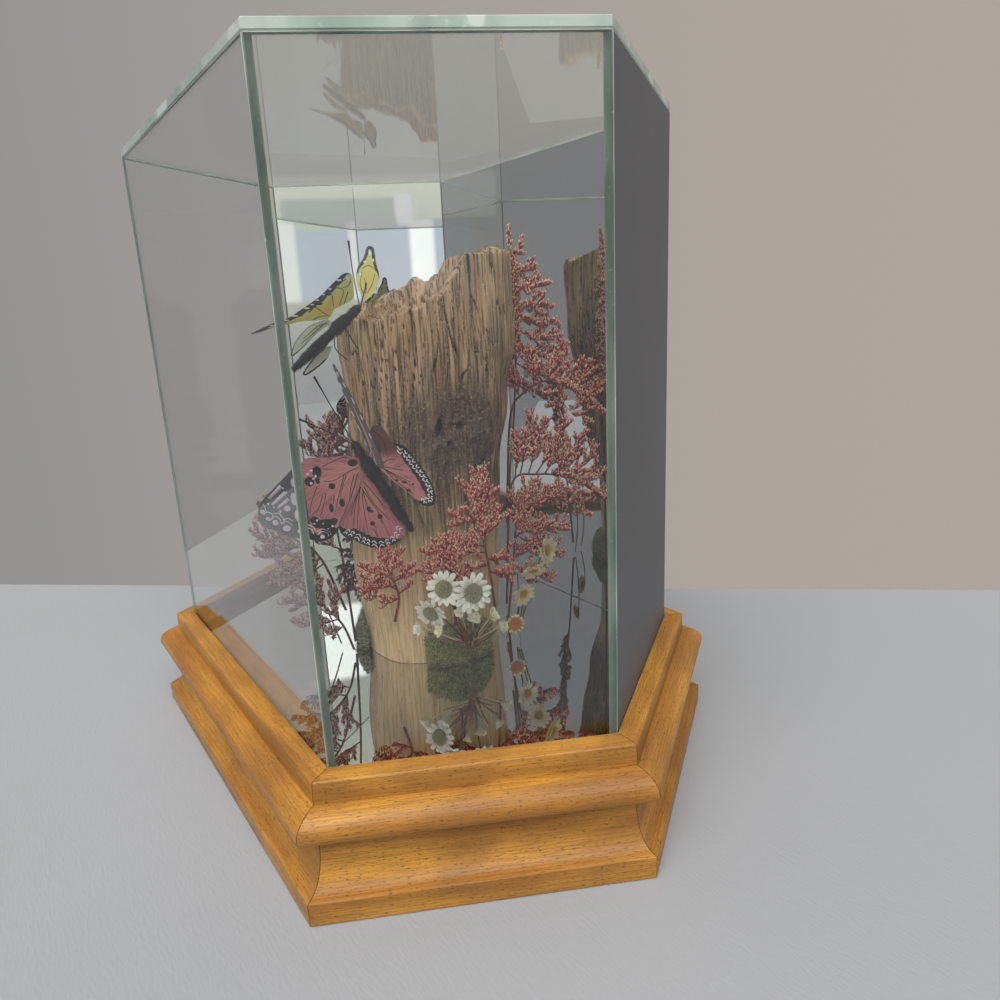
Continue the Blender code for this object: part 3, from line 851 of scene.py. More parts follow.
def driftwood():
    wood, bench = new_finish("driftwood", Roughness=0.85)
    place = object_place(bench)
    height = place.node("ShaderNodeSeparateXYZ", {}, {0: place}, 2)
    streaks = speckle(place, 1, 4, (210, 210, 9))
    fibres = speckle(place, 1, 4, (900, 900, 36))
    patches = speckle(place, 26, 3)
    grit = speckle(place, 900, 2)
    painted_shade = attribute(bench, "painted_shade")
    tan = mix(rise(streaks, 0.35, 0.65), colour(250, 218, 172), colour(228, 192, 146))
    grey = mix(rise(streaks, 0.38, 0.62), colour(214, 180, 144), colour(128, 102, 78))
    grey = mix(rise(patches, 0.52, 0.7) * 0.6, grey, colour(164, 114, 70))
    stain = rise(speckle(place, 70, 5, (1, 1, 0.4)), 0.5, 0.66)
    grey = mix(stain * 0.6, grey, colour(88, 68, 52))
    high = rise(height, FLOOR_TOP + 125 * MM, FLOOR_TOP + 185 * MM)
    grey = mix(high * 0.4, grey, colour(236, 200, 160))
    low = 1 - rise(height, FLOOR_TOP + 50 * MM, FLOOR_TOP + 90 * MM)
    tone = mix(low, grey, tan)
    from_knot = place.node("ShaderNodeVectorMath", {"operation": "DISTANCE"}, {0: place, 1: KNOT_PLACE}, 1)
    knot = rise(from_knot + patches * 30 * MM, 52 * MM, 30 * MM)
    tone = mix(knot * 0.85, tone, mix(grit, colour(66, 55, 50), colour(122, 102, 88)))
    tone = mix(rise(fibres, 0.47, 0.6) * (0.75 - low * 0.45), tone, colour(74, 55, 40))
    tone = mix(rise(grit, 0.6, 0.72) * 0.45, tone, colour(232, 208, 176))
    # Painted shade: cracks, knot holes and the hollow darken towards near black.
    tone = mix(rise(painted_shade, 0.1, 0.9), tone, colour(36, 28, 24))
    feed(wood, "Base Color", tone)
    feed_bump(wood, 1 - fibres * 0.8 + grit * 0.3, 0.0012, 0.9)
    return wood


add_piece("stump_wood", build_stump_mesh(), [driftwood()], "driftwood", "stump")

# %% [markdown]
# Moss, florets, hairs and petals are one small shape repeated many times. The small shape is made once with
# bmesh, and its copies are placed by matrices and joined into a single mesh. Each copy has a shade of its
# own, and each point knows how far up its copy it lies, so one material can colour a floret from root to
# tip.


# %% Many copies of a small shape
def scatter(name, pattern, places, seed):
    """Joins a copy of the pattern for each place, a 4 by 4 matrix, into one mesh."""
    points = np.ones((len(pattern.vertices), 4))
    for index, vertex in enumerate(pattern.vertices):
        points[index, :3] = vertex.co
    matrices = np.array([np.array(place) for place in places])
    moved = np.einsum("kij,nj->kni", matrices, points)[:, :, :3]
    corners = np.array([corner.vertex_index for corner in pattern.loops])
    starts = np.array([face.loop_start for face in pattern.polygons])
    count = len(places)
    mesh = bpy.data.meshes.new(name)
    mesh.vertices.add(count * len(points))
    mesh.vertices.foreach_set("co", moved.astype(np.float32).ravel())
    mesh.loops.add(count * len(corners))
    all_corners = corners[None, :] + np.arange(count)[:, None] * len(points)
    mesh.loops.foreach_set("vertex_index", all_corners.astype(np.int32).ravel())
    mesh.polygons.add(count * len(starts))
    all_starts = starts[None, :] + np.arange(count)[:, None] * len(corners)
    mesh.polygons.foreach_set("loop_start", all_starts.astype(np.int32).ravel())
    mesh.update(calc_edges=True)
    low, high = points[:, 2].min(), points[:, 2].max()
    tip = mesh.attributes.new("tip", "FLOAT", "POINT")
    tip.data.foreach_set("value", np.tile((points[:, 2] - low) / (high - low), count).astype(np.float32))
    shade = mesh.attributes.new("shade", "FLOAT", "POINT")
    shades = np.random.default_rng(seed).random(count)
    shade.data.foreach_set("value", np.repeat(shades, len(points)).astype(np.float32))
    mesh.shade_smooth()
    return mesh


def aimed(place, direction, length, width, spin=0.0):
    """A matrix that stands a unit shape at a place, along a direction."""
    turn = direction.to_track_quat("Z", "Y").to_matrix().to_4x4()
    size = Matrix.Diagonal((width, width, length, 1))
    return Matrix.Translation(place) @ turn @ Matrix.Rotation(spin, 4, "Z") @ size


def spindle(name, segments, rings, widest=0.6):
    """A closed pointed shape one unit long and one unit thick, widest at a share of its length."""
    work = bmesh.new()
    bmesh.ops.create_uvsphere(work, u_segments=segments, v_segments=rings, radius=0.5)
    for vertex in work.verts:
        share = vertex.co.z + 0.5
        vertex.co.z = share ** (math.log(widest) / math.log(0.5))
    mesh = bpy.data.meshes.new(name)
    work.to_mesh(mesh)
    work.free()
    return mesh


def grow_tube(work, points, radii, sides):
    """Extrudes a circle along points, ring by ring, and closes both of its ends."""
    side = Vector((0.31, 0.27, 0.91))
    if abs((points[1] - points[0]).normalized().dot(side)) > 0.8:
        side = Vector((0.9, 0.4, 0.1))
    edges = []
    for index, place in enumerate(points):
        before = points[max(index - 1, 0)]
        after = points[min(index + 1, len(points) - 1)]
        direction = (after - before).normalized()
        side = (side - direction * side.dot(direction)).normalized()
        turn = Matrix((side, direction.cross(side), direction)).transposed().to_4x4()
        stand = Matrix.Translation(place) @ turn @ Matrix.Scale(radii[index], 4)
        if not edges:
            made = bmesh.ops.create_circle(work, cap_ends=True, segments=sides, radius=1, matrix=stand)
            edges = list({edge for vertex in made["verts"] for edge in vertex.link_edges})
        else:
            grown = bmesh.ops.extrude_edge_only(work, edges=edges)
            edges = new_edges(grown)
            bmesh.ops.transform(work, verts=new_points(grown), matrix=stand @ last_stand.inverted())
            edges = [edge for edge in edges if all(end in new_points(grown) for end in edge.verts)]
        last_stand = stand
    bmesh.ops.contextual_create(work, geom=edges)


print("a floret has", len(spindle("floret", 4, 3).polygons), "faces")

# %% [markdown]
# Each plume is a spray of a dried everlasting: thin stems that arch outwards and carry hundreds of upright
# florets, crimson at the root and cream at the tip. A route gives its stem, and each twig leaves the stem
# at a share of its length and bends to its own tip. Shorter sprays leave the twigs, and florets stand along
# all of them.

# %% Plume routes
# A plume's stem by its points, and its twigs as (share of the way up the stem, tip), in millimetres
PLUMES = {
    "plume_tall": (
        [(52, -20, 4), (57, -20, 82), (62, -20, 130), (64, -20, 180), (62, -20, 222)],
        [(0.92, (69, -18, 212)), (0.87, (76, -18, 201)), (0.82, (81, -18, 192)), (0.77, (82, -16, 181)),
         (0.73, (86, -18, 172)), (0.69, (89, -18, 163)), (0.65, (88, -18, 152)), (0.6, (84, -18, 142)),
         (0.56, (80, -18, 130)), (0.7, (58, -20, 166)), (0.62, (55, -20, 146))],
    ),
    "plume_arching": (
        [(54, -6, 60), (58, -4, 119), (65, -4, 134), (80, -2, 141), (95, 0, 135), (109, 3, 121)],
        [(0.38, (60, -9, 141)), (0.5, (72, -6, 150)), (0.62, (82, -3, 152)), (0.74, (94, 0, 147)),
         (0.45, (52, -8, 150)), (0.56, (66, -6, 160)), (0.68, (88, -2, 160)), (0.8, (102, 0, 150)),
         (0.86, (108, 2, 138)), (0.7, (84, 0, 124)), (0.85, (98, 2, 116))],
    ),
    "plume_fan": (
        [(53, 6, 40), (57, 6, 86), (72, 6, 91), (90, 6, 88), (103, 8, 80)],
        [(0.3, (62, 8, 115)), (0.42, (76, 6, 121)), (0.55, (86, 8, 111)), (0.66, (94, 6, 104)),
         (0.8, (108, 8, 92)), (0.35, (70, 8, 126)), (0.48, (88, 8, 122)), (0.6, (98, 8, 114)),
         (0.72, (104, 8, 104)), (0.5, (72, 10, 74)), (0.65, (84, 10, 70)), (0.78, (96, 10, 66)),
         (0.9, (110, 10, 76))],
    ),
    "plume_low": (
        [(51, 15, 4), (56, 15, 44), (59, 15, 67), (68, 15, 80)],
        [(0.3, (68, 16, 40)), (0.45, (74, 15, 55)), (0.6, (78, 17, 66)), (0.75, (57, 17, 84)),
         (0.84, (77, 14, 80)), (0.35, (60, 17, 52)), (0.5, (66, 17, 72)), (0.65, (86, 16, 64)),
         (0.55, (84, 16, 48)), (0.7, (68, 17, 90)), (0.3, (78, 16, 36)), (0.9, (84, 15, 86))],
    ),
    "sprig_front_right": (
        [(45, 42, 24), (43, 45, 50), (40, 46, 72), (37, 46, 92)],
        [(0.45, (52, 40, 56)), (0.55, (31, 49, 72)), (0.66, (50, 41, 82)), (0.5, (22, 50, 70)),
         (0.6, (44, 46, 78)), (0.75, (26, 49, 84)), (0.8, (45, 45, 94)), (0.85, (33, 48, 98)),
         (0.4, (38, 49, 56)), (0.35, (56, 38, 46)), (0.9, (41, 44, 104))],
    ),
    "sprig_front_left": (
        [(24, 48, 24), (25, 48, 44), (27, 49, 62)],
        [(0.45, (12, 50, 49)), (0.7, (17, 50, 62)), (0.6, (10, 51, 58)), (0.8, (20, 50, 72)),
         (0.85, (30, 49, 70)), (0.5, (33, 49, 56)), (0.9, (13, 51, 68))],
    ),
    "plume_curled": (
        [(-6, 53, 30), (-3, 53, 44), (-8, 53, 56), (-17, 53, 50)],
        [(0.35, (3, 52, 50)), (0.5, (4, 53, 59)), (0.3, (-12, 53, 40)), (0.4, (-18, 53, 60)),
         (0.5, (-10, 53, 66)), (0.6, (-2, 53, 66)), (0.45, (-22, 52, 52)), (0.7, (-22, 52, 44))],
    ),
    "plume_left_upright": (
        [(-34, 20, 4), (-36, 21, 50), (-39, 22, 90), (-38, 22, 120)],
        [(0.55, (-48, 24, 88)), (0.7, (-46, 22, 104)), (0.4, (-50, 24, 70)), (0.8, (-34, 24, 132)),
         (0.85, (-50, 24, 118)), (0.6, (-56, 24, 96)), (0.9, (-44, 22, 126))],
    ),
    "plume_left_spread": (
        [(-36, 27, 26), (-46, 28, 56), (-60, 29, 72), (-70, 29, 79)],
        [(0.4, (-66, 30, 50)), (0.5, (-77, 29, 60)), (0.62, (-57, 28, 92)), (0.45, (-78, 30, 74)),
         (0.55, (-66, 30, 86)), (0.3, (-72, 32, 44)), (0.5, (-60, 30, 64)), (0.35, (-52, 30, 48)),
         (0.7, (-72, 29, 88))],
    ),
    "plume_left_low": (
        [(-33, 30, 4), (-38, 31, 20), (-48, 32, 32), (-58, 32, 36)],
        [(0.3, (-46, 34, 15)), (0.5, (-39, 33, 41)), (0.4, (-60, 34, 24)), (0.6, (-54, 33, 46)),
         (0.7, (-64, 32, 36)), (0.35, (-42, 33, 30))],
    ),
    "plume_rear": (
        [(11, -50, 6), (12, -54, 60), (20, -58, 110), (20, -60, 152)],
        [(0.35, (38, -56, 88)), (0.45, (2, -57, 96)), (0.6, (38, -58, 118)), (0.75, (5, -60, 132)),
         (0.5, (30, -58, 104)), (0.55, (-2, -58, 110)), (0.7, (34, -60, 134)), (0.85, (12, -62, 150)),
         (0.8, (28, -60, 146))],
    ),
}
FADED = ("plume_left_upright", "plume_left_spread", "plume_left_low", "plume_rear")


def smooth_line(points, steps):
    """A curve through all the points, by the Catmull-Rom rule, with steps stretches between neighbours."""
    points = [Vector(point) for point in points]
    ends = [2 * points[0] - points[1]] + points + [2 * points[-1] - points[-2]]
    line = []
    for a, b, c, d in zip(ends, ends[1:], ends[2:], ends[3:]):
        for step in range(steps):
            t = step / steps
            line.append(0.5 * (
                2 * b + (c - a) * t + (2 * a - 5 * b + 4 * c - d) * t * t + (3 * b - a - 3 * c + d) * t ** 3
            ))
    line.append(points[-1])
    return line


def line_point(line, share):
    at = min(max(share, 0), 1) * (len(line) - 1)
    index = min(int(at), len(line) - 2)
    return line[index].lerp(line[index + 1], at - index)


def line_length(line):
    return sum((b - a).length for a, b in zip(line, line[1:]))


print("the tall plume's stem is", round(line_length(smooth_line(PLUMES["plume_tall"][0], 6))), "mm long")

# %% [markdown]
# A plume grows as the plant does: stem, twigs, sprays, and florets that all turn up towards the light.
# Chance sets the lean and reach of each, from a seed of the plume's own, so it comes out the same every
# time.


# %% Plume growth
STEM_RADIUS, TWIG_RADIUS = 0.75, 0.45
SPRAY_RADII = (0.3, 0.25, 0.15)
BARE_STEM, BARE_TWIG, BARE_SPRAY = 0.6, 0.2, 0.15
TWIG_SAG = 0.12
FLORET_STEP = 0.55
FLORET_LENGTH = 3.3
FLORET_WIDTH = 0.85
FLORETS_ABREAST = 2
SPRAY_STEP = 2.6


def twig_line(root, tip):
    """A twig that sags a little on its way out and turns up at its end."""
    middle = (root + tip) / 2
    middle.z -= TWIG_SAG * abs(tip.x - root.x)
    return smooth_line([root, middle, tip], 8)


def side_sprays(line, chance, first):
    """Short sprays that leave a twig to both sides and lean upwards."""
    sprays = []
    length = line_length(line)
    count = max(int(length * (1 - first) / SPRAY_STEP), 2)
    for number in range(count):
        share = first + (0.9 - first) * (number + chance.random() * 0.6) / count
        root = line_point(line, share)
        ahead = (line_point(line, share + 0.06) - line_point(line, share - 0.06)).normalized()
        aside = ahead.cross(Vector((0, 1, 0))).normalized()
        lean = 1 if number % 2 else -1
        depth = chance.uniform(-0.5, 0.5)
        spread = aside * lean * chance.uniform(0.5, 1.3)
        direction = (ahead + spread + Vector((0, depth, 0.35))).normalized()
        reach = chance.uniform(5, 10) * min(1.15 - 0.5 * share, 3.2 - 3 * share)
        tip = root + direction * reach + Vector((0, 0, 0.8))
        sprays.append([root, root + direction * reach * 0.55, tip])
    return sprays


def florets_along(line, chance, first):
    """Places of the florets that stand along a line, in the arrangement's millimetres."""
    placed = []
    length = line_length(line)
    count = max(int(length * (1 - first) / FLORET_STEP), 2)
    for number in range(count):
        share = first + (1 - first) * number / max(count - 1, 1)
        root = line_point(line, share)
        ahead = (line_point(line, share + 0.05) - line_point(line, share - 0.05)).normalized()
        for _ in range(FLORETS_ABREAST):
            aside = Vector([chance.gauss(0, 1) for _ in range(3)])
            aside = (aside - ahead * aside.dot(ahead)).normalized()
            direction = (ahead * 0.5 + aside * chance.uniform(0.1, 0.7) + Vector((0, 0, 1.0))).normalized()
            placed.append((root + aside * 0.4, direction, chance.uniform(0.7, 1.15)))
    return placed


def plume_lines(route, twigs):
    stem = smooth_line(route, 6)
    lines = [stem]
    for share, tip in twigs:
        lines.append(twig_line(line_point(stem, share), Vector(tip)))
    return lines


def grow_plume(name, seed):
    route, twigs = PLUMES[name]
    chance = random.Random(seed)
    lines = plume_lines(route, twigs)
    stems = bmesh.new()
    placed = []
    for number, line in enumerate(lines):
        places = [spot(*point) for point in line]
        thick = STEM_RADIUS if number == 0 else TWIG_RADIUS
        radii = [thick * MM * (1 - 0.5 * index / len(line)) for index in range(len(line))]
        grow_tube(stems, places, radii, 5)
        first = BARE_STEM if number == 0 else BARE_TWIG
        placed += florets_along(line, chance, first)
        for spray in side_sprays(line, chance, first):
            grow_tube(stems, [spot(*point) for point in spray], [radius * MM for radius in SPRAY_RADII], 4)
            placed += florets_along(smooth_line(spray, 3), chance, BARE_SPRAY)
    matrices = []
    for root, direction, size in placed:
        heading = (spot(*(root + direction)) - spot(*root)).normalized()
        length, width = FLORET_LENGTH * size * MM, FLORET_WIDTH * size * MM
        matrices.append(aimed(spot(*root), heading, length, width))
    return to_mesh(stems, f"{name}_stems", 60), matrices


def joined(name, meshes):
    """One mesh of several, which keeps their attributes and their order of materials."""
    work = bmesh.new()
    for number, mesh in enumerate(meshes):
        before = len(work.faces)
        work.from_mesh(mesh)
        work.faces.ensure_lookup_table()
        for face in work.faces[before:]:
            face.material_index = number
    mesh = bpy.data.meshes.new(name)
    work.to_mesh(mesh)
    work.free()
    return mesh


print("every", FLORET_STEP, "mm of a line carries", FLORETS_ABREAST, "florets")

# %% [markdown]
# Fresh plumes are crimson and the older ones at the left and behind have faded to purple brown. One recipe
# gives both: dark at the root, clear in the middle, and pale at the tip, which is partly the florets' own
# colour and partly a painted highlight, with a shade of its own for every floret.


# %% Floret finishes
def floret_finish(name, root_tone, middle_tone, tip_tone):
    florets, bench = new_finish(name, Roughness=0.75)
    tip = attribute(bench, "tip")
    shade = attribute(bench, "shade")
    tone = mix(rise(tip, 0.05, 0.55), root_tone, middle_tone)
    # The pale tip is partly the florets' own colour and partly a painted highlight.
    tone = mix(rise(tip + shade * 0.35, 0.72, 1.04), tone, tip_tone)
    tone = mix(rise(shade, 0.7, 1) * 0.5, tone, root_tone)
    feed(florets, "Base Color", tone)
    return florets


def stem_finish(name, tone):
    stem, bench = new_finish(name, Roughness=0.7)
    cloud = speckle(object_place(bench), 300, 2)
    feed(stem, "Base Color", mix(cloud, tone, colour(70, 34, 28)))
    return stem


def build_plumes():
    floret = spindle("floret", 4, 3)
    red_tones = (colour(128, 24, 36), colour(206, 62, 68), colour(255, 220, 190))
    faded_tones = (colour(98, 46, 58), colour(146, 82, 88), colour(218, 180, 166))
    crimson = floret_finish("crimson_florets", *red_tones)
    faded = floret_finish("faded_florets", *faded_tones)
    red_stem = stem_finish("red_stems", colour(150, 44, 44))
    brown_stem = stem_finish("brown_stems", colour(92, 46, 40))
    total = 0
    for seed, name in enumerate(PLUMES):
        stems, matrices = grow_plume(name, seed)
        florets = scatter(name, floret, matrices, seed)
        pale = name in FADED
        finishes = [brown_stem, faded] if pale else [red_stem, crimson]
        slot = "faded_florets" if pale else "crimson_florets"
        add_piece(f"{name}_spray", joined(name, [stems, florets]), finishes, slot, name)
        total += len(matrices)
    print("the plumes have", total, "florets")


build_plumes()

# %% [markdown]
# The moss is a low mound against the stump's foot, with thousands of short blades standing out of it. The
# mound is a grid that follows the stump's own side, so it fits the wood however the stump is shaped.

# %% Moss
# The first and last angle round the stump, the height and the thickness, in millimetres
MOSS_PATCHES = {
    "moss_front": (36, 88, 22, 7), "moss_left": (158, 196, 17, 8), "moss_rear": (262, 312, 18, 8),
}
MOUND_FULLNESS, ROOT_FULLNESS = 0.72, 0.62
MOUND_ROUGHNESS = 0.6
MOSS_BLADES = 6500
MOSS_CLEARANCE = 0.8


def moss_point(patch, share, climb, fullness=1.0):
    """A place on a mound, at a share of the way round it and up it."""
    first, last, height, depth = patch
    swell = math.sin(math.pi * (0.12 + 0.76 * share))
    lump = 1 + 0.18 * math.sin(5 * share * math.pi + climb * 5)
    thickness = (0.8 + depth * swell * lump * math.cos(math.pi / 2 * climb ** 1.5)) * fullness
    level = 0.4 + (height - 0.4) * climb * (0.55 + 0.45 * swell)
    return Vector(stump_point(first + (last - first) * share, level, -MOSS_CLEARANCE - thickness))


def moss_mound(patch):
    work = bmesh.new()
    bmesh.ops.create_grid(work, x_segments=40, y_segments=20, size=0.5)
    for vertex in work.verts:
        place = moss_point(patch, vertex.co.x + 0.5, vertex.co.y + 0.5, MOUND_FULLNESS)
        rough = Vector([noise.noise(place * 0.7 + Vector((0, 0, 31 * axis))) for axis in range(3)])
        vertex.co = spot(*(place + rough * MOUND_ROUGHNESS))
    return to_mesh(work, "mound", 180)


def moss_blades(patch, seed):
    chance = random.Random(seed)
    matrices = []
    for _ in range(MOSS_BLADES):
        share, climb = chance.uniform(-0.07, 1.07), chance.random() ** 0.8
        root = moss_point(patch, share, climb, ROOT_FULLNESS)
        tip = moss_point(patch, share, min(climb + 0.25, 1), 1.0)
        lean = Vector([chance.gauss(0, 1.1) for _ in range(3)])
        direction = (tip - root).normalized() * 1.6 + lean + Vector((0, 0, 0.5))
        heading = (spot(*(root + direction)) - spot(*root)).normalized()
        length = chance.uniform(1.6, 4) * MM
        matrices.append(aimed(spot(*root), heading, length, 0.5 * MM))
    return matrices


def moss_finish(name, dark, light):
    moss, bench = new_finish(name, Roughness=0.9)
    tip = attribute(bench, "tip")
    shade = attribute(bench, "shade")
    tone = mix(rise(tip * 0.6 + shade * 0.6, 0.2, 1.1), dark, light)
    # Painted glints: a few blades turn pale cream, as specks of light.
    feed(moss, "Base Color", mix(rise(shade, 0.86, 0.98), tone, colour(206, 204, 172)))
    return moss


def build_moss():
    blade = spindle("blade", 3, 2, 0.45)
    green = moss_finish("green_moss", colour(86, 92, 46), colour(212, 212, 142))
    soil = plain_paint("moss_bed", colour(92, 90, 54), 0.9)
    grey = moss_finish("grey_moss", colour(88, 92, 74), colour(200, 200, 168))
    for seed, (name, patch) in enumerate(MOSS_PATCHES.items()):
        finish = grey if name == "moss_left" else green
        mesh = joined(name, [moss_mound(patch), scatter(name, blade, moss_blades(patch, seed), seed)])
        add_piece(f"{name}_tuft", mesh, [soil, finish], "moss", name)


build_moss()
print("the moss has", MOSS_BLADES * len(MOSS_PATCHES), "blades")

# %% [markdown]
# An everlasting daisy is a domed disc of tiny florets in a ring of papery petals. One petal is a flattened
# sphere with a cupped back. A matrix lays it: its length points away from the middle and its back turns
# down.


# %% Petals and discs
PETAL_AROUND, PETAL_ALONG = 10, 8


def petal_shape(name, width, cup):
    """A closed petal one unit long that is widest beyond its middle and has a blunt tip."""
    work = bmesh.new()
    bmesh.ops.create_uvsphere(work, u_segments=PETAL_AROUND, v_segments=PETAL_ALONG, radius=0.5)
    for vertex in work.verts:
        share = vertex.co.z + 0.5
        groove = 0.035 * math.cos(vertex.co.x * 9)
        vertex.co.x *= width * (0.6 + 0.7 * share)
        vertex.co.y = vertex.co.y * 0.12 - groove - cup * (share - share * share) * 4
        vertex.co.z = share
    mesh = bpy.data.meshes.new(name)
    work.to_mesh(mesh)
    work.free()
    return mesh


def laid(place, along, facing, length):
    """A matrix that lays a unit petal along a direction with its face towards another."""
    along = along.normalized()
    side = facing.cross(along).normalized()
    turn = Matrix((side, along.cross(side), along)).transposed().to_4x4()
    return Matrix.Translation(place) @ turn @ Matrix.Scale(length, 4)


def flower_axes(facing):
    """The direction that a flower faces and two directions across it."""
    normal = (spot(*facing) - spot(0, 0, 0)).normalized()
    side = normal.cross(Vector((0, 0, 1))).normalized()
    return normal, side, side.cross(normal)


def petal_ring(centre, facing, count, root, length, lift, chance):
    """Matrices of a ring of petals, in metres, that rise from the flower's plane by lift degrees."""
    normal, side, up = flower_axes(facing)
    matrices = []
    for number in range(count):
        turn = 2 * math.pi * (number + chance.uniform(-0.18, 0.18)) / count
        out = side * math.cos(turn) + up * math.sin(turn)
        rise_angle = math.radians(lift + chance.uniform(-9, 9))
        along = out * math.cos(rise_angle) + normal * math.sin(rise_angle)
        face = normal * math.cos(rise_angle) - out * math.sin(rise_angle)
        reach = length * chance.uniform(0.86, 1.08)
        matrices.append(laid(centre + out * root, along, face, reach))
    return matrices


def disc_dome(centre, facing, radius, height):
    normal, side, up = flower_axes(facing)
    work = bmesh.new()
    turn = Matrix((side, up, normal)).transposed().to_4x4()
    size = Matrix.Diagonal((radius, radius, height, 1))
    bmesh.ops.create_uvsphere(
        work, u_segments=20, v_segments=10, radius=1, matrix=Matrix.Translation(centre) @ turn @ size
    )
    return to_mesh(work, "dome", 180)


def disc_florets(centre, facing, radius, height, count, chance):
    """Matrices of tiny florets spread evenly over a dome, in the spiral that real ones follow."""
    normal, side, up = flower_axes(facing)
    golden = math.pi * (3 - math.sqrt(5))
    matrices = []
    for number in range(count):
        share = math.sqrt((number + 0.5) / count)
        turn = golden * number
        out = side * math.cos(turn) + up * math.sin(turn)
        lift = math.sqrt(1 - 0.9 * share * share)
        root = centre + out * radius * share + normal * height * lift * 0.9
        direction = (out * share + normal * (1.1 - 0.5 * share)).normalized()
        direction += Vector([chance.gauss(0, 0.15) for _ in range(3)])
        matrices.append(aimed(root, direction.normalized(), 0.15 * radius + 0.45 * MM, 0.16 * radius))
    return matrices


print("a petal has", PETAL_AROUND * PETAL_ALONG, "faces")

# %% [markdown]
# Each flower is listed by its middle, the way it faces, its radius and its petals, as the solids have it.
# The kinds differ in how much of the flower its disc takes, and in their colours.

# %% Flowers
BUNDLE_ROOT = Vector((31, 54, 15))
FLOWERS = {
    "daisy_upper_left": ((20, 55, 47), (-0.15, 1, 0.35), 9.2, 14, "woolly"),
    "daisy_upper_right": ((34, 59.5, 46), (0.3, 1, 0.25), 10, 15, "woolly"),
    "daisy_lower_left": ((13, 55.5, 35), (-0.45, 1, -0.3), 8.6, 13, "woolly"),
    "daisy_orange": ((55, 27, 13), (0.25, 1, 0.1), 5.4, 15, "orange"),
    "daisy_cream_right": ((73, 26, 54), (0.8, 0.6, 0.1), 8.4, 15, "cream"),
    "daisy_cream_middle": ((66, 27, 44), (0.2, 0.8, -0.7), 7.4, 14, "cream"),
    "daisy_cream_low": ((60, 26, 30), (0.5, 0.9, -0.2), 7, 14, "cream"),
    "daisy_cream_left": ((-57, 15, 38), (-0.5, 0.9, 0.1), 6, 14, "cream"),
    "daisy_rear_orange": ((24, -46, 44), (0.4, -1, 0.2), 6.5, 15, "orange"),
    "daisy_rear_cream": ((0, -45, 32), (-0.3, -1, 0.1), 7, 15, "cream"),
}
# Where a flower's stem ends
STEM_FEET = {
    "daisy_upper_left": BUNDLE_ROOT, "daisy_upper_right": BUNDLE_ROOT, "daisy_lower_left": BUNDLE_ROOT,
    "daisy_orange": Vector((50, 24, 3)), "daisy_cream_right": Vector((58, 20, 6)),
    "daisy_cream_middle": Vector((57, 20, 6)), "daisy_cream_low": Vector((56, 21, 4)),
    "daisy_cream_left": Vector((-42, 20, 3)), "daisy_rear_orange": Vector((20, -47, 2)),
    "daisy_rear_cream": Vector((6, -45, 2)),
}
# Share of the radius that the disc takes, its height, number of florets, petal width, lift and slot
KINDS = {
    "woolly": (0.43, 0.3, 210, 0.42, 10, "woolly_petals"),
    "orange": (0.62, 0.26, 170, 0.5, 8, "orange_discs"),
    "cream": (0.34, 0.22, 80, 0.42, 20, "cream_petals"),
}


def two_tones(name, root_tone, tip_tone, roughness=0.8):
    """A finish that goes from one colour at the root of each copy to another at its tip."""
    finish, bench = new_finish(name, Roughness=roughness)
    tip = attribute(bench, "tip")
    shade = attribute(bench, "shade")
    tone = mix(rise(tip, 0.1, 0.8), root_tone, tip_tone)
    feed(finish, "Base Color", mix(rise(shade, 0.4, 1) * 0.3, tone, root_tone))
    return finish


def flower_stem(centre, facing, foot):
    """A thin stem that leaves the back of a flower and bends down to its foot."""
    back = centre - Vector(facing).normalized() * 1.5
    middle = (back + foot) / 2 - Vector(facing).normalized() * 1.2
    line = smooth_line([foot, middle, back], 6)
    work = bmesh.new()
    grow_tube(work, [spot(*point) for point in line], [0.42 * MM] * len(line), 6)
    return to_mesh(work, "stem", 60)


def build_flowers():
    stalk = two_tones("flower_stems", colour(112, 84, 48), colour(150, 124, 76))
    petals = {
        "woolly": two_tones("woolly_petals", colour(226, 224, 206), colour(252, 250, 244)),
        "orange": two_tones("pale_petals", colour(214, 184, 120), colour(238, 228, 196)),
        "cream": two_tones("cream_petals", colour(226, 196, 130), colour(242, 232, 200)),
    }
    discs = {
        "woolly": two_tones("woolly_disc", colour(96, 92, 70), colour(178, 176, 148)),
        "orange": two_tones("orange_disc", colour(176, 96, 22), colour(230, 150, 52)),
        "cream": two_tones("yellow_disc", colour(184, 132, 50), colour(226, 182, 96)),
    }
    floret = spindle("disc_floret", 5, 3, 0.6)
    for seed, (name, (centre, facing, radius, count, kind)) in enumerate(FLOWERS.items()):
        disc_share, dome_share, florets, width, lift, slot = KINDS[kind]
        chance = random.Random(seed)
        middle, size = spot(*centre), radius * MM
        pattern = petal_shape("petal", width, 0.03)
        inner = disc_share * size * 0.7
        length = size * 1.03 - inner
        ring = petal_ring(middle, facing, count, inner, length, lift, chance)
        if kind != "orange":
            ring += petal_ring(middle, facing, count - 2, inner * 0.9, length * 0.8, lift + 16, chance)
        bumps = disc_florets(middle, facing, disc_share * size, dome_share * size, florets, chance)
        meshes = [
            scatter("petals", pattern, ring, seed),
            disc_dome(middle, facing, disc_share * size, dome_share * size),
            scatter("florets", floret, bumps, seed),
            flower_stem(Vector(centre), facing, STEM_FEET[name]),
        ]
        finishes = [petals[kind], discs[kind], discs[kind], stalk]
        add_piece(f"{name}_flower", joined(name, meshes), finishes, slot, name)


build_flowers()
print("there are", len(FLOWERS), "flowers")

# %% [markdown]
# Six buds and a fan of cut stalks fill the space under the daisies. A bud is the same ring of petals as a
# flower, lifted until they close, and all the stems run down to one root in the moss.

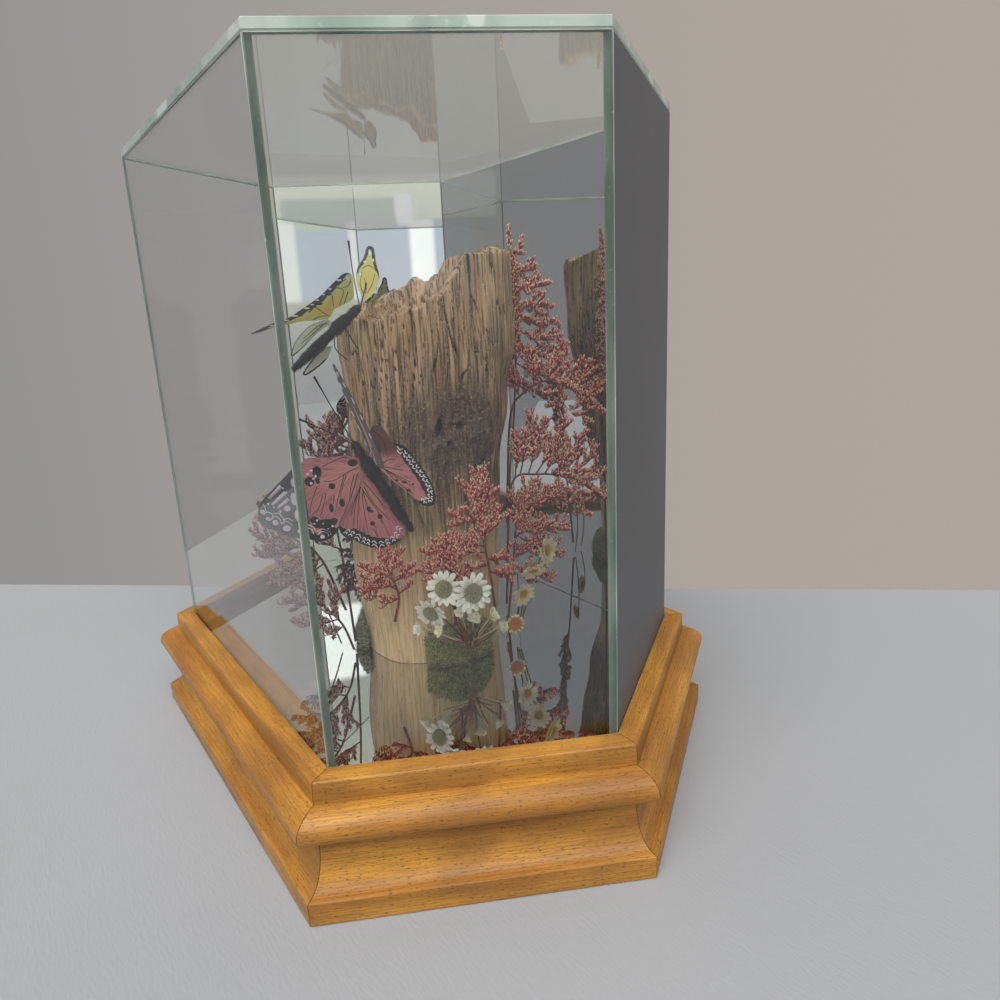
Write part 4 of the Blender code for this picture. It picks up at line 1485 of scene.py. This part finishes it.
# %% Buds and stalks
BUDS = ((7, 55, 26.5), (17, 56, 25), (27.5, 57, 34.5), (34, 57, 31), (43, 52, 30), (47, 49, 22))
STALK_TIPS = (
    (21, 55, 28), (25, 55, 29), (30, 55, 28.5), (35, 54, 26.5), (40, 52.5, 24), (18, 55, 24), (23, 56, 32),
    (28, 57, 30), (33, 56, 31), (38, 55, 29), (43, 52, 26), (27, 57, 24), (32, 57, 23), (37, 56, 21),
    (20, 56, 20), (24, 57, 22), (45, 50, 21), (41, 53, 20), (15, 55, 20), (29, 58, 27),
)


def build_buds():
    paper = two_tones("bud_petals", colour(200, 202, 158), colour(244, 238, 214))
    pattern = petal_shape("bud_petal", 0.62, -0.16)
    for number, place in enumerate(BUDS, start=1):
        chance = random.Random(number)
        away = (Vector(place) - BUNDLE_ROOT).normalized() + Vector((0, 0.7, 0))
        foot = Vector(place) - away.normalized() * 2.2
        ring = petal_ring(spot(*foot), away, 6, 0.5 * MM, 5.6 * MM, 60, chance)
        ring += petal_ring(spot(*foot), away, 5, 0.2 * MM, 5.2 * MM, 78, chance)
        meshes = [scatter("bud", pattern, ring, number), flower_stem(foot + away, away, BUNDLE_ROOT)]
        finishes = [paper, paper]
        add_piece(f"bud_{number}_petals", joined("bud", meshes), finishes, "woolly_petals", f"bud_{number}")


def build_stalks():
    chance = random.Random(5)
    work = bmesh.new()
    shade = work.verts.layers.float.new("shade")
    for tip in STALK_TIPS:
        before = len(work.verts)
        root = BUNDLE_ROOT + Vector((chance.gauss(0, 1.2), chance.uniform(-1, 1.5), chance.gauss(0, 0.6)))
        bow = (root + Vector(tip)) / 2 + Vector((chance.gauss(0, 0.8), 0.5, 0.6))
        line = smooth_line([root, bow, tip], 5)
        thick = chance.uniform(0.28, 0.5)
        radii = [thick * MM * (1 - 0.4 * index / len(line)) for index in range(len(line))]
        grow_tube(work, [spot(*point) for point in line], radii, 6)
        work.verts.ensure_lookup_table()
        tone = chance.random()
        for vertex in work.verts[before:]:
            vertex[shade] = tone
    brown, bench = new_finish("brown_stalks", Roughness=0.6)
    tone = attribute(bench, "shade")
    dark = mix(rise(tone, 0.0, 0.7), colour(84, 40, 26), colour(140, 76, 44))
    feed(brown, "Base Color", mix(rise(tone, 0.75, 0.85), dark, colour(206, 166, 96)))
    add_piece("cut_stalks", to_mesh(work, "stalks", 60), [brown], "dry_stalks", "stalk_bundle")


build_buds()
build_stalks()
print("there are", len(BUDS), "buds and", len(STALK_TIPS), "stalks")

# %% [markdown]
# A wing is nearly flat, so it is drawn like a picture: on a sheet, in two of the arrangement's coordinates.
# The sheet is found from the solid by fitting a plane through its points. On it go an outline, veins, dark
# spots, pale spots and pale arcs. The wing itself is a fan from the wing's root to its outline, and its
# border is painted where the distance to the outline is small. Veins and spots are thin closed shapes
# pressed through the wing.


# %% Wing sheets
WING_RINGS = 26
WING_THICKNESS = 0.16 * MM


class Sheet:
    """A plane through a solid. Places on it are given by right (or ahead, for axis 1) and up."""

    def __init__(self, node, axis=0):
        points = [vertex.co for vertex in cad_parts[node].data.vertices]
        sides = [[p.dot(ACROSS) / MM, p.dot(TOWARDS) / MM, (p.z - FLOOR_TOP) / MM] for p in points]
        rows = np.array(sides)
        self.axis = axis
        terms = np.column_stack([np.ones(len(rows)), rows[:, axis], rows[:, 2]])
        self.slope = np.linalg.lstsq(terms, rows[:, 1 - axis], rcond=None)[0]
        self.right = (self.place(1, 0) - self.place(0, 0)).normalized()
        self.up = (self.place(0, 1) - self.place(0, 0)).normalized()
        self.normal = self.right.cross(self.up).normalized()

    def place(self, along, up):
        other = float(self.slope[0] + self.slope[1] * along + self.slope[2] * up)
        return spot(along, other, up) if self.axis == 0 else spot(other, along, up)


def closed_curve(points, steps=5):
    """A smooth closed outline through the points."""
    loop = [Vector(point) for point in points]
    ring = smooth_line(loop[-3:] + loop + loop[:3], steps)
    return ring[3 * steps:-2 * steps - 1]


def fan_wing(sheet, outline, root, border, free):
    """A fan of faces from the root to the outline. Each point knows how far it lies inside the border
    of the free part of the outline, and how far out it is."""
    curve = closed_curve(outline)
    count = len(curve)
    around = np.array(curve)
    work = bmesh.new()
    rim = work.verts.layers.float.new("rim")
    reach = work.verts.layers.float.new("reach")
    cells = work.verts.layers.float.new("cells")
    bmesh.ops.create_grid(work, x_segments=count, y_segments=WING_RINGS, size=0.5)
    width, scallop, scallops = border
    for vertex in work.verts:
        share, out = vertex.co.x + 0.5, vertex.co.y + 0.5
        place = line_point(curve + curve[:1], share)
        place = Vector(root) + (place - Vector(root)) * out
        distance = np.hypot(*(around - np.array(place)).T)
        nearest = int(distance.argmin()) / count
        inside = min(max((nearest - free[0]) * 12, 0), 1) * min(max((free[1] - nearest) * 12, 0), 1)
        wave = abs(math.sin(math.pi * nearest * scallops))
        vertex[rim] = float(distance.min()) - (width + scallop * wave) * inside
        vertex[reach] = out
        vertex[cells] = share
        vertex.co = sheet.place(*place)
    bmesh.ops.remove_doubles(work, verts=work.verts, dist=0.001 * MM)
    bmesh.ops.translate(work, verts=work.verts, vec=sheet.normal * WING_THICKNESS / -2)
    grown = bmesh.ops.extrude_face_region(work, geom=work.faces[:], use_keep_orig=True)
    bmesh.ops.translate(work, verts=new_points(grown), vec=sheet.normal * WING_THICKNESS)
    bmesh.ops.recalc_face_normals(work, faces=work.faces)
    return to_mesh(work, "wing", 60)


print("a wing is", round(WING_THICKNESS / MM, 2), "mm thick")

# %% [markdown]
# Veins and arcs are thin tubes in the sheet and spots are flattened spheres. They stand a little proud of
# it on both faces, so a wing looks the same from its back.


# %% Wing marks
SPOT_THICKNESS, PALE_THICKNESS, EDGE_ON_THICKNESS, LILAC_THICKNESS = 0.2, 0.26, 0.42, 0.24
VEIN_RADIUS, ARC_RADIUS, STRIP_RADIUS = 0.26, 0.27, 0.95


def wing_lines(sheet, lines, radius):
    """Veins or arcs as thin tubes that lie in the sheet."""
    work = bmesh.new()
    for line in lines:
        points = smooth_line([Vector((*point, 0)) for point in line], 4)
        radii = [radius * MM * (1 - 0.35 * index / len(points)) for index in range(len(points))]
        grow_tube(work, [sheet.place(point.x, point.y) for point in points], radii, 6)
    return to_mesh(work, "lines", 180)


def wing_spots(sheet, spots, thickness=SPOT_THICKNESS):
    """Flat round spots, each (right, up, half width, half height), pressed through the sheet."""
    work = bmesh.new()
    turn = Matrix((sheet.right, sheet.up, sheet.normal)).transposed().to_4x4()
    for right, up, half_width, half_height in spots:
        size = Matrix.Diagonal((half_width * MM, half_height * MM, thickness * MM, 1))
        stand = Matrix.Translation(sheet.place(right, up)) @ turn @ size
        bmesh.ops.create_uvsphere(work, u_segments=14, v_segments=6, radius=1, matrix=stand)
    return to_mesh(work, "spots", 180)


def build_wing(node, slot, paints, drawing, axis=0):
    sheet = Sheet(node, axis)
    outline, root, border, free = drawing["outline"], drawing["root"], drawing["border"], drawing["free"]
    meshes = [
        fan_wing(sheet, outline, root, border, free),
        wing_lines(sheet, drawing.get("veins", []), VEIN_RADIUS),
        wing_spots(sheet, drawing.get("dark", [])),
        wing_spots(sheet, drawing.get("pale", []), PALE_THICKNESS if axis == 0 else EDGE_ON_THICKNESS),
        wing_lines(sheet, drawing.get("arcs", []), drawing.get("arc", ARC_RADIUS)),
    ]
    return add_piece(f"{node}_sheet", joined(node, meshes), paints, slot, node)


def add_lilac(piece, node, drawing, lilac):
    """Adds the tip's lilac windows, rounds and strips, to a wing's own mesh."""
    sheet = Sheet(node)
    work = bmesh.new()
    work.from_mesh(piece.data)
    before = len(work.faces)
    work.from_mesh(wing_spots(sheet, drawing["lilac"], LILAC_THICKNESS))
    work.from_mesh(wing_lines(sheet, drawing["strips"], STRIP_RADIUS))
    work.faces.ensure_lookup_table()
    for face in work.faces[before:]:
        face.material_index = len(piece.data.materials)
    work.to_mesh(piece.data)
    work.free()
    piece.data.materials.append(lilac)


print("a wing has", WING_RINGS, "rings between its root and its outline")

# %% [markdown]
# The red butterfly's wings are salmon at their roots and rose further out, with black veins, a black border
# that holds white scallops, and pale lilac windows in the forewing's tip. All numbers are millimetres on
# the sheets.

# %% Red wings
RED_WINGS = {
    "red_butterfly_left_forewing": {
        "outline": [
            (-15.8, 116.1), (-18, 116.5), (-21.8, 117.5), (-25.7, 117.5), (-30.7, 117.6), (-38, 117.9),
            (-40.8, 115.9), (-45.8, 110.9), (-52, 105.2), (-56.6, 101), (-60.2, 96.4), (-61.2, 91.5),
            (-60.6, 87.9), (-57.8, 85.3), (-52.9, 82), (-47.4, 79.2), (-42.4, 76.8), (-38, 75.4),
            (-33.9, 76), (-29.7, 79.4), (-28.4, 82.6), (-25.6, 86.9), (-20.5, 95.4), (-16, 104.5),
            (-14.7, 108.8),
        ],
        "root": (-17, 111), "border": (3.0, 0.9, 30), "free": (0.26, 0.8), "outer": -41.5,
        "veins": [
            [(-21.1, 116.2), (-23, 116.6), (-27.7, 115), (-32.1, 113.3)],
            [(-16.4, 110.8), (-20, 109.7), (-24.8, 107.2), (-27.8, 105.8), (-32.5, 105.7)],
            [(-18.5, 107.9), (-20.5, 102.5), (-22.2, 95.6)], [(-22.2, 107.7), (-24.5, 102.3),
            (-26.3, 96.1)],
            [(-23, 108.4), (-25.4, 101.7), (-27.6, 95.6), (-28.7, 91.8)],
            [(-32.2, 100), (-34, 94.4), (-36.3, 88.2)], [(-34, 98.9), (-36.1, 93.4), (-38, 90.1)],
            [(-35.9, 103.6), (-38.3, 98.2), (-39.9, 94.5), (-40.7, 90.8)], [(-28.7, 98.3), (-29.8, 93.9)],
            [(-17, 108), (-19.5, 101), (-24, 91), (-28.6, 83)],
        ],
        "dark": [
            (-18.6, 113.6, 2.7, 2.1), (-34.9, 110.7, 2.4, 3.3), (-38.8, 106.4, 2.6, 2.8),
            (-35.2, 106.6, 1.1, 2.2), (-29.2, 103, 1.8, 1.8), (-25.7, 94.1, 1.5, 2.6),
            (-30.9, 92, 1.2, 2.7),
            (-35, 84.2, 6.5, 2.8), (-39.3, 86.7, 2.2, 2.2), (-30.6, 85.2, 2, 1.8), (-33.5, 80.5, 4, 3.2),
        ],
        "pale": [
            (-37.3, 111.7, 0.8, 0.5), (-39.1, 110.2, 0.7, 0.7), (-35.7, 108.9, 0.6, 0.9),
            (-37, 107.5, 0.5, 0.4),
            (-38.2, 105.6, 0.9, 1), (-38.2, 86.5, 0.6, 0.7), (-35.6, 84.4, 0.6, 0.6),
            (-31.6, 82.6, 0.7, 0.7),
            (-33.7, 81.5, 0.5, 0.5), (-39.5, 84.9, 0.5, 0.5), (-36.8, 77.6, 1.2, 1.2),
            (-53.7, 95.3, 0.5, 0.5), (-55.8, 97.4, 0.5, 0.5), (-48.5, 104.4, 0.5, 0.5),
            (-47.4, 102.1, 0.5, 0.5),
        ],
        "lilac": [
            (-48.1, 94.1, 1.7, 1.7), (-49.8, 84, 2, 1.8), (-54.3, 87.6, 1.5, 1.6), (-57.2, 90, 1.2, 1.2),
            (-58.9, 93.8, 1.2, 1.2), (-51.3, 93, 0.8, 0.8), (-44, 90, 1.6, 3.4), (-44.6, 98.5, 1.5, 3.6),
            (-43.8, 106.6, 1.1, 2.4), (-44.2, 81.8, 1.3, 1.3),
        ],
        "strips": [
            [(-49.1, 105.6), (-55.2, 100)], [(-47.7, 102.4), (-54.3, 96.8)], [(-46.8, 98.9), (-52.1, 94.9)],
        ],
        "arcs": [
            [(-58.4, 97.6), (-57.6, 96.1), (-57.4, 92.9)], [(-58.7, 92.2), (-57.2, 93.4), (-55, 92.2),
            (-55.1, 89.6)],
            [(-56.6, 88.9), (-54.4, 90.7), (-52.3, 89.6), (-51.6, 86.3)],
            [(-54.2, 92.1), (-52.2, 92.2), (-50.4, 88.8), (-50.8, 86.5)],
            [(-51.9, 86.7), (-49.3, 87.6), (-47.1, 85.1)], [(-50.8, 88.5), (-48.5, 89.1), (-46.5, 87.3)],
            [(-38.9, 79), (-36.7, 80.4), (-34.3, 79.3), (-33.9, 77.6)],
            [(-39, 80.7), (-36.3, 81.7), (-33.3, 79.9), (-32.9, 78.2)],
            [(-43, 83.4), (-41, 81.9), (-40.6, 79.4)], [(-43.4, 85.3), (-40.2, 83.2), (-39.6, 81.4)],
        ],
    },
    "red_butterfly_left_hindwing": {
        "outline": [
            (-15.2, 109), (-13.2, 106.2), (-10.3, 100.8), (-5.9, 92.5), (-2.1, 82.8), (1.4, 77.6),
            (1.6, 73.5),
            (-1.8, 69.6), (-7.9, 67.5), (-11.6, 67), (-15.6, 68.4), (-20.1, 70.9), (-23.4, 73.6),
            (-26.3, 74.8),
            (-28.8, 77.9), (-28.9, 82), (-25.9, 86.9), (-20.9, 94.9), (-16.4, 104),
        ],
        "root": (-15.5, 106), "border": (5.2, 0.8, 24), "free": (0.34, 0.8), "arc": 0.34,
        "veins": [
            [(-16.7, 100.9), (-19.6, 94.1), (-22.5, 81)], [(-17.1, 100.3), (-19.1, 90.1), (-20.7, 79)],
            [(-16.5, 97.6), (-16.5, 87.1), (-15.8, 75)], [(-16.2, 100.2), (-14.9, 90.9), (-13.5, 87.5)],
            [(-15.3, 100.7), (-11.4, 91.2), (-5, 82)], [(-15.8, 98.8), (-11.5, 89.9), (-9.5, 86.3)],
            [(-15.3, 103.3), (-11.3, 97.1), (-6, 88)], [(-18.9, 97.2), (-21.4, 91), (-23.1, 85.9)],
            [(-9.3, 82.3), (-8.1, 80.1)], [(-13.4, 80.8), (-11.8, 78.6)], [(-13, 78), (-11.5, 73)],
        ],
        "dark": [
            (-14.3, 88.9, 1.1, 1.6), (-13.2, 87.6, 1.3, 0.8), (-9.4, 84.3, 1.4, 1.6),
            (-13.3, 81.1, 1.3, 1.3),
        ],
        "scallops": ((1.4, 77), (-2.2, 70), (-8, 67.5), (-11.8, 67.2), (-15.8, 68.6), (-20.2, 71.2),
            (-24, 74.4),
                     (-28.6, 77.6)),
        "inward": (-13, 88),
    },
    "red_butterfly_right_hindwing": {
        "outline": [
            (-6.4, 110.4), (-6.9, 114.1), (-8.3, 119), (-8.8, 125.1), (-8.6, 129.2), (-6.5, 131),
            (-3.4, 130),
            (-1.1, 127), (1, 122.6), (6.3, 121), (10.2, 116.3), (14.1, 110.1), (16.7, 105.4), (18.9, 99.5),
            (19.2, 93.8), (16.6, 91), (12.3, 91.8), (9, 95.2), (3.4, 100.3), (-1, 104.1), (-4.3, 107.9),
        ],
        "root": (-5.5, 109.5), "border": (4.8, 0.7, 26), "free": (0.38, 0.8), "arc": 0.34,
        "veins": [
            [(-5.7, 111.6), (-2.4, 114), (1.2, 114.6)], [(-5.2, 111), (-1, 110.3), (5, 109)],
            [(-5.2, 110.4), (0.5, 107.2), (8, 103)], [(-4.1, 109.7), (2.1, 105.3), (10, 99.8)],
            [(-7.6, 128.6), (-5, 126.2), (-2.8, 122.5), (-2.2, 116.5)], [(-3.5, 109.1), (1.3, 103.4),
            (8.4, 97.2)],
            [(-6.5, 114), (-5.6, 119), (-5.8, 124)],
        ],
        "dark": [(4.9, 103.1, 1.5, 0.8), (1.4, 104.1, 0.9, 0.7), (6.6, 99, 1.3, 0.8), (9, 102, 0.8, 0.6)],
        "maroon": 117,
        "scallops": ((2.4, 122), (6.6, 120), (10.4, 115.8), (14, 109.8), (16.8, 104.6), (18.8, 98.8),
            (18.4, 92.8),
                     (13.4, 91.4)),
        "inward": (3, 108),
    },
    "red_butterfly_right_forewing": {
        "axis": 1,
        "outline": [
            (62.5, 115), (65, 131), (69, 148), (74, 158), (78, 161), (83, 159.5), (88, 148), (90, 133),
            (86, 119),
            (76, 114), (66, 113.5),
        ],
        "root": (64, 116), "border": (9, 1, 16), "free": (0.0, 0.9),
        "veins": [[(65, 118), (72, 130), (78, 145)], [(65, 117), (75, 124), (84, 134)]],
        "pale": [
            (64.6, 124, 1.2, 1.6), (66.2, 131, 1.3, 2.2), (67.8, 138, 1.3, 1.8), (69.8, 145, 1.4, 2.2),
            (72.5, 151, 1.3, 1.8), (75.2, 156, 1.4, 1.5), (79.5, 157, 1.4, 1.3), (83, 152.5, 1.4, 1.6),
            (86, 146, 1.3, 1.8), (87.4, 139, 1.2, 1.6), (87, 131, 1.1, 1.4), (64.2, 118.6, 0.8, 1.1),
        ],
    },
}


def scallop_arcs(margin, inward, depths=(0.8, 2.6), bulge=1.1):
    """Nested arcs inside a margin: for each stretch between two of its points, one arc for each depth."""
    arcs = []
    middle = Vector(inward)
    for first, last in zip(margin, margin[1:]):
        a, b = Vector(first), Vector(last)
        halves = 2 if (b - a).length > 5 else 1
        for half in range(halves):
            start, end = a.lerp(b, half / halves), a.lerp(b, (half + 1) / halves)
            into = (middle - (start + end) / 2).normalized()
            for depth in depths:
                left = start.lerp(end, 0.2) + into * depth
                right = start.lerp(end, 0.8) + into * depth
                crest = (start + end) / 2 + into * (depth + bulge)
                arcs.append([tuple(left), tuple(crest), tuple(right)])
    return arcs


def rose_paint(name, outer=None, maroon=None):
    """The wing's rose. Beyond outer, to the left, its ground is violet black; above maroon it is darker."""
    rose, bench = new_finish(name, Roughness=0.65, Sheen_Weight=0.2)
    rim = attribute(bench, "rim")
    reach = attribute(bench, "reach")
    cells = attribute(bench, "cells")
    streak = bench.node("ShaderNodeCombineXYZ", {}, {0: cells * 90, 1: reach * 3})
    streaks = speckle(streak, 1, 2)
    tone = mix(rise(reach, 0.1, 0.75), colour(232, 156, 148), colour(204, 126, 134))
    tone = mix(rise(streaks, 0.45, 0.7) * 0.6, tone, colour(126, 60, 70))
    tone = mix(rise(streaks, 0.42, 0.25) * 0.45, tone, colour(222, 168, 164))
    place = object_place(bench)
    if outer is not None:
        right = place.node("ShaderNodeVectorMath", {"operation": "DOT_PRODUCT"}, {0: place, 1: ACROSS}, 1)
        tone = mix(rise(right, (outer + 0.6) * MM, (outer - 0.6) * MM), tone, colour(34, 26, 36))
    if maroon is not None:
        height = place.node("ShaderNodeSeparateXYZ", {}, {0: place}, 2)
        low = FLOOR_TOP + (maroon - 3) * MM
        tone = mix(rise(height, low, low + 6 * MM) * 0.8, tone, colour(84, 38, 38))
    feed(rose, "Base Color", mix(rise(rim, 0.15, -0.15), tone, colour(22, 17, 21)))
    return rose


def build_red_wings():
    black = plain_paint("wing_black", colour(24, 18, 22))
    white = plain_paint("wing_white", colour(250, 246, 250))
    lilac = plain_paint("wing_lilac", colour(232, 212, 230))
    for node, drawing in RED_WINGS.items():
        drawing["arcs"] = drawing.get("arcs", [])
        if "scallops" in drawing:
            drawing["arcs"] += scallop_arcs(drawing["scallops"], drawing["inward"])
        rose = rose_paint(f"{node}_rose", drawing.get("outer"), drawing.get("maroon"))
        paints = [rose, black, black, lilac if "axis" in drawing else white, white]
        piece = build_wing(node, "rose_wing", paints, drawing, drawing.get("axis", 0))
        if "lilac" in drawing:
            add_lilac(piece, node, drawing, lilac)


build_red_wings()
print("the red butterfly has", len(RED_WINGS), "wings")

# %% [markdown]
# The yellow butterfly's forewings are lime with a warm root, black veins and a black margin flecked with
# white. Its hindwings are pale and nearly plain. They are drawn on sheets in the same way.


# %% Yellow wings
YELLOW_WINGS = {
    "yellow_butterfly_near_forewing": {
        "outline": [
            (-21.9, 185.1), (-18.6, 185.8), (-14, 188.4), (-13.2, 193.8), (-13.3, 198.6), (-16.5, 199.4),
            (-21.7, 195.5), (-29.3, 189.3), (-36.8, 184.8), (-43.6, 181), (-50.6, 178.1), (-54.5, 176.6),
            (-59, 174.5), (-54.9, 175.2), (-50.9, 176.4), (-44.3, 177.9), (-39.2, 179), (-33.3, 179.1),
            (-28.8, 179.3), (-25.5, 180.4),
        ],
        "root": (-23, 184), "border": (2.0, 0.5, 30), "free": (0.2, 0.72),
        "veins": [
            [(-23, 190.1), (-23.3, 185.1)], [(-21.9, 193.7), (-18.5, 192.7), (-18.1, 190.8),
            (-20.7, 185.5)],
            [(-16, 191.2), (-18.6, 185.8)], [(-27.6, 189), (-25.1, 190.7), (-22.2, 191.9)],
            [(-34.4, 182.9), (-31.3, 185.5), (-27.3, 188.1)], [(-33.2, 179.6), (-30.3, 180.8),
            (-26.7, 181.1)],
            [(-31.3, 185.5), (-28.2, 182.6), (-25.8, 181.1)], [(-14, 196.1), (-15.6, 193.9), (-18, 193.1)],
            [(-14.6, 198), (-17, 196.4), (-20.3, 195)],
        ],
        "dark": [(-24.5, 190.6, 1.6, 0.6), (-29.5, 186.6, 2.2, 0.7)],
        "pale": [
            (-19, 196.6, 1.3, 0.5), (-29.8, 188.2, 0.9, 0.35), (-32.4, 186.4, 1, 0.35),
            (-35, 184.9, 1.6, 0.4),
            (-40.9, 181.7, 1.8, 0.5), (-44.6, 179.9, 1.3, 0.4), (-15.4, 197.4, 0.9, 1),
            (-26.7, 190.6, 0.6, 0.4),
            (-49, 177.9, 1.2, 0.35), (-23.6, 192.9, 0.8, 0.5),
        ],
    },
    "yellow_butterfly_near_hindwing": {
        "outline": [
            (-26, 178.7), (-28.1, 179.2), (-35.7, 176.6), (-42.1, 170.6), (-45.6, 164.4), (-44.4, 163.6),
            (-39.3, 167.4), (-34.8, 171.9), (-29.7, 175.2), (-26.7, 176.8),
        ],
        "root": (-27.5, 178), "border": (0.5, 0.1, 12), "free": (0.1, 0.7), "pale_wing": True,
        "veins": [[(-29.4, 177), (-36.5, 171.7), (-40.6, 168.8)], [(-27.4, 177.8), (-32.2, 176.2),
            (-38.9, 171.2)]],
    },
    "yellow_butterfly_far_forewing": {
        "outline": [
            (-9.7, 187.5), (-12.1, 190.4), (-13.8, 195.3), (-13.4, 202.5), (-10.4, 207.2), (-8.5, 212.5),
            (-5.4, 211.8), (-4.3, 205), (-2.7, 197.6), (-5.2, 191), (-7.7, 188.4),
        ],
        "root": (-9, 190), "border": (1.3, 0.4, 14), "free": (0.2, 0.75),
        "veins": [
            [(-9.4, 190.4), (-9.1, 194.1), (-10.1, 198)], [(-10.4, 190.3), (-12, 195.1), (-11.1, 200.9)],
            [(-8.4, 190.8), (-6.1, 194.9), (-4.8, 199.6)], [(-11.1, 202.3), (-8, 203.6), (-5.3, 202)],
        ],
        "pale": [(-9.6, 205.4, 0.9, 0.7), (-7.2, 209.4, 0.8, 1.1), (-11.8, 199.6, 0.6, 0.9),
            (-5.6, 206, 0.5, 0.9)],
    },
    "yellow_butterfly_far_hindwing": {
        "outline": [
            (-27, 166.9), (-31, 165.8), (-35, 163.2), (-39.4, 158.8), (-42.8, 154.6), (-41.6, 153.4),
            (-37.6, 155.4),
            (-32.4, 158.9), (-29.4, 162),
        ],
        "root": (-30, 164), "border": (0.7, 0.2, 12), "free": (0.05, 0.9), "pale_wing": True,
    },
}


def lime_paint(name, pale_wing):
    lime, bench = new_finish(name, Roughness=0.65, Sheen_Weight=0.2)
    rim = attribute(bench, "rim")
    reach = attribute(bench, "reach")
    blotch = speckle(object_place(bench), 140, 2)
    if pale_wing:
        tone = mix(reach, colour(206, 206, 158), colour(222, 224, 212))
    else:
        tone = mix(rise(reach, 0.2, 0.9), colour(214, 186, 92), colour(196, 200, 112))
        tone = mix(rise(blotch, 0.58, 0.75) * 0.6, tone, colour(204, 150, 96))
    feed(lime, "Base Color", mix(rise(rim, 0.12, -0.12), tone, colour(40, 40, 44)))
    return lime


def build_yellow_wings():
    black = plain_paint("lime_black", colour(44, 46, 40))
    silver = plain_paint("fleck_white", colour(224, 224, 228))
    for node, drawing in YELLOW_WINGS.items():
        paint = lime_paint(f"{node}_lime", "pale_wing" in drawing)
        build_wing(node, "lime_wing", [paint, black, black, silver, silver], drawing)


build_yellow_wings()
print("the yellow butterfly has", len(YELLOW_WINGS), "wings")

# %% [markdown]
# The bodies are soft and dark: a spindle of thorax and abdomen under a coat of short hairs that lie
# backwards. The feelers end in small clubs, and the thin legs reach the wood.

# %% Bodies
# Share of the length and share of the girth, from the head to the tail
BODY_SHAPE = (
    (0.0, 0.3), (0.04, 0.6), (0.1, 0.66), (0.15, 0.5), (0.22, 0.92), (0.34, 0.98), (0.42, 0.66),
    (0.55, 0.8), (0.75, 0.74), (0.93, 0.42), (1.0, 0.15),
)
BODIES = {
    "red_butterfly_body": {
        "head": (-17, 60, 124), "tail": (6, 52, 77), "girth": 3.5,
        "feelers": [[(-17.5, 60.2, 123), (-28, 61.2, 129.6), (-40, 62, 136)],
                    [(-16.6, 60.2, 123.5), (-24, 61.8, 139), (-31, 63, 155)]],
        "legs": [[(-14, 58, 117), (-17, 51, 118), (-13, 43.6, 113)],
                 [(-11, 57, 112), (-6, 50, 114), (-4, 43.8, 110)],
                 [(-9, 56, 107), (-12, 49, 102), (-8, 43.8, 99)]],
        "tones": (colour(12, 10, 13), colour(38, 32, 35)), "slot": "insect_black",
    },
    "yellow_butterfly_body": {
        "head": (-11, 41, 185), "tail": (-45, 44, 157), "girth": 3.1,
        "feelers": [[(-11.6, 41, 185), (-13.2, 41, 199), (-14, 41, 214)],
                    [(-11, 41, 185), (-9, 41, 190.4), (-7.5, 41, 195)]],
        "legs": [[(-20, 41.6, 177), (-16, 45, 170), (-14, 41.5, 165)],
                 [(-24, 42, 174), (-24, 45, 166), (-20, 38.6, 160)]],
        "tones": (colour(15, 17, 27), colour(46, 50, 68)), "slot": "insect_navy",
    },
}
BODY_RINGS = 26
BODY_HAIRS = 2600
HAIR_WIDTH = 0.2
FEELER_RADIUS, CLUB_SWELL, CLUB_START = 0.28, 0.42, 0.7


def build_body(node, plan, seed):
    chance = random.Random(seed)
    head, tail = Vector(plan["head"]), Vector(plan["tail"])
    shares = [ring / BODY_RINGS for ring in range(BODY_RINGS + 1)]
    girths = [between(BODY_SHAPE, share)[0] * plan["girth"] * 0.9 for share in shares]
    line = [spot(*head.lerp(tail, share)) for share in shares]
    work = bmesh.new()
    grow_tube(work, line, [girth * MM for girth in girths], 14)
    for feeler in plan["feelers"]:
        points = smooth_line(feeler, 6)
        steps = [index / len(points) for index in range(len(points))]
        clubs = [max(0, step - CLUB_START) / (1 - CLUB_START) for step in steps]
        radii = [(FEELER_RADIUS + CLUB_SWELL * club) * MM for club in clubs]
        grow_tube(work, [spot(*point) for point in points], radii, 7)
    for leg in plan["legs"]:
        points = smooth_line(leg, 4)
        grow_tube(work, [spot(*point) for point in points], [FEELER_RADIUS * MM] * len(points), 6)
    axis = (line[-1] - line[0]).normalized()
    side = axis.cross(Vector((0, 0, 1))).normalized()
    other = axis.cross(side)
    hairs = []
    for _ in range(BODY_HAIRS):
        share, turn = chance.uniform(0.01, 0.99), chance.uniform(0, 2 * math.pi)
        out = side * math.cos(turn) + other * math.sin(turn)
        girth = between(BODY_SHAPE, share)[0] * plan["girth"] * 0.82 * MM
        root = line[0].lerp(line[-1], share) + out * girth
        lean = Vector([chance.gauss(0, 0.3) for _ in range(3)])
        heading = (out * 0.6 + axis + lean).normalized()
        hairs.append(aimed(root, heading, chance.uniform(1.2, 2.4) * MM, HAIR_WIDTH * MM))
    fur = scatter("fur", spindle("hair", 3, 2, 0.4), hairs, seed)
    dark, light = plan["tones"]
    skin = plain_paint(f"{node}_skin", dark, 0.55)
    hair = two_tones(f"{node}_hair", dark, light, 0.7)
    mesh = joined(node, [to_mesh(work, "trunk", 60), fur])
    add_piece(f"{node}_fur", mesh, [skin, hair], plan["slot"], node)


for seed, (node, plan) in enumerate(BODIES.items()):
    build_body(node, plan, seed)
print("each body has", BODY_HAIRS, "hairs")

# %% [markdown]
# Last, the solids that still show are printed. Only the two boards, which have a finish but no piece of
# their own, still show their solids.

# %% Finish
for name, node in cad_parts.items():
    if not node.hide_render:
        print("still plain:", name)
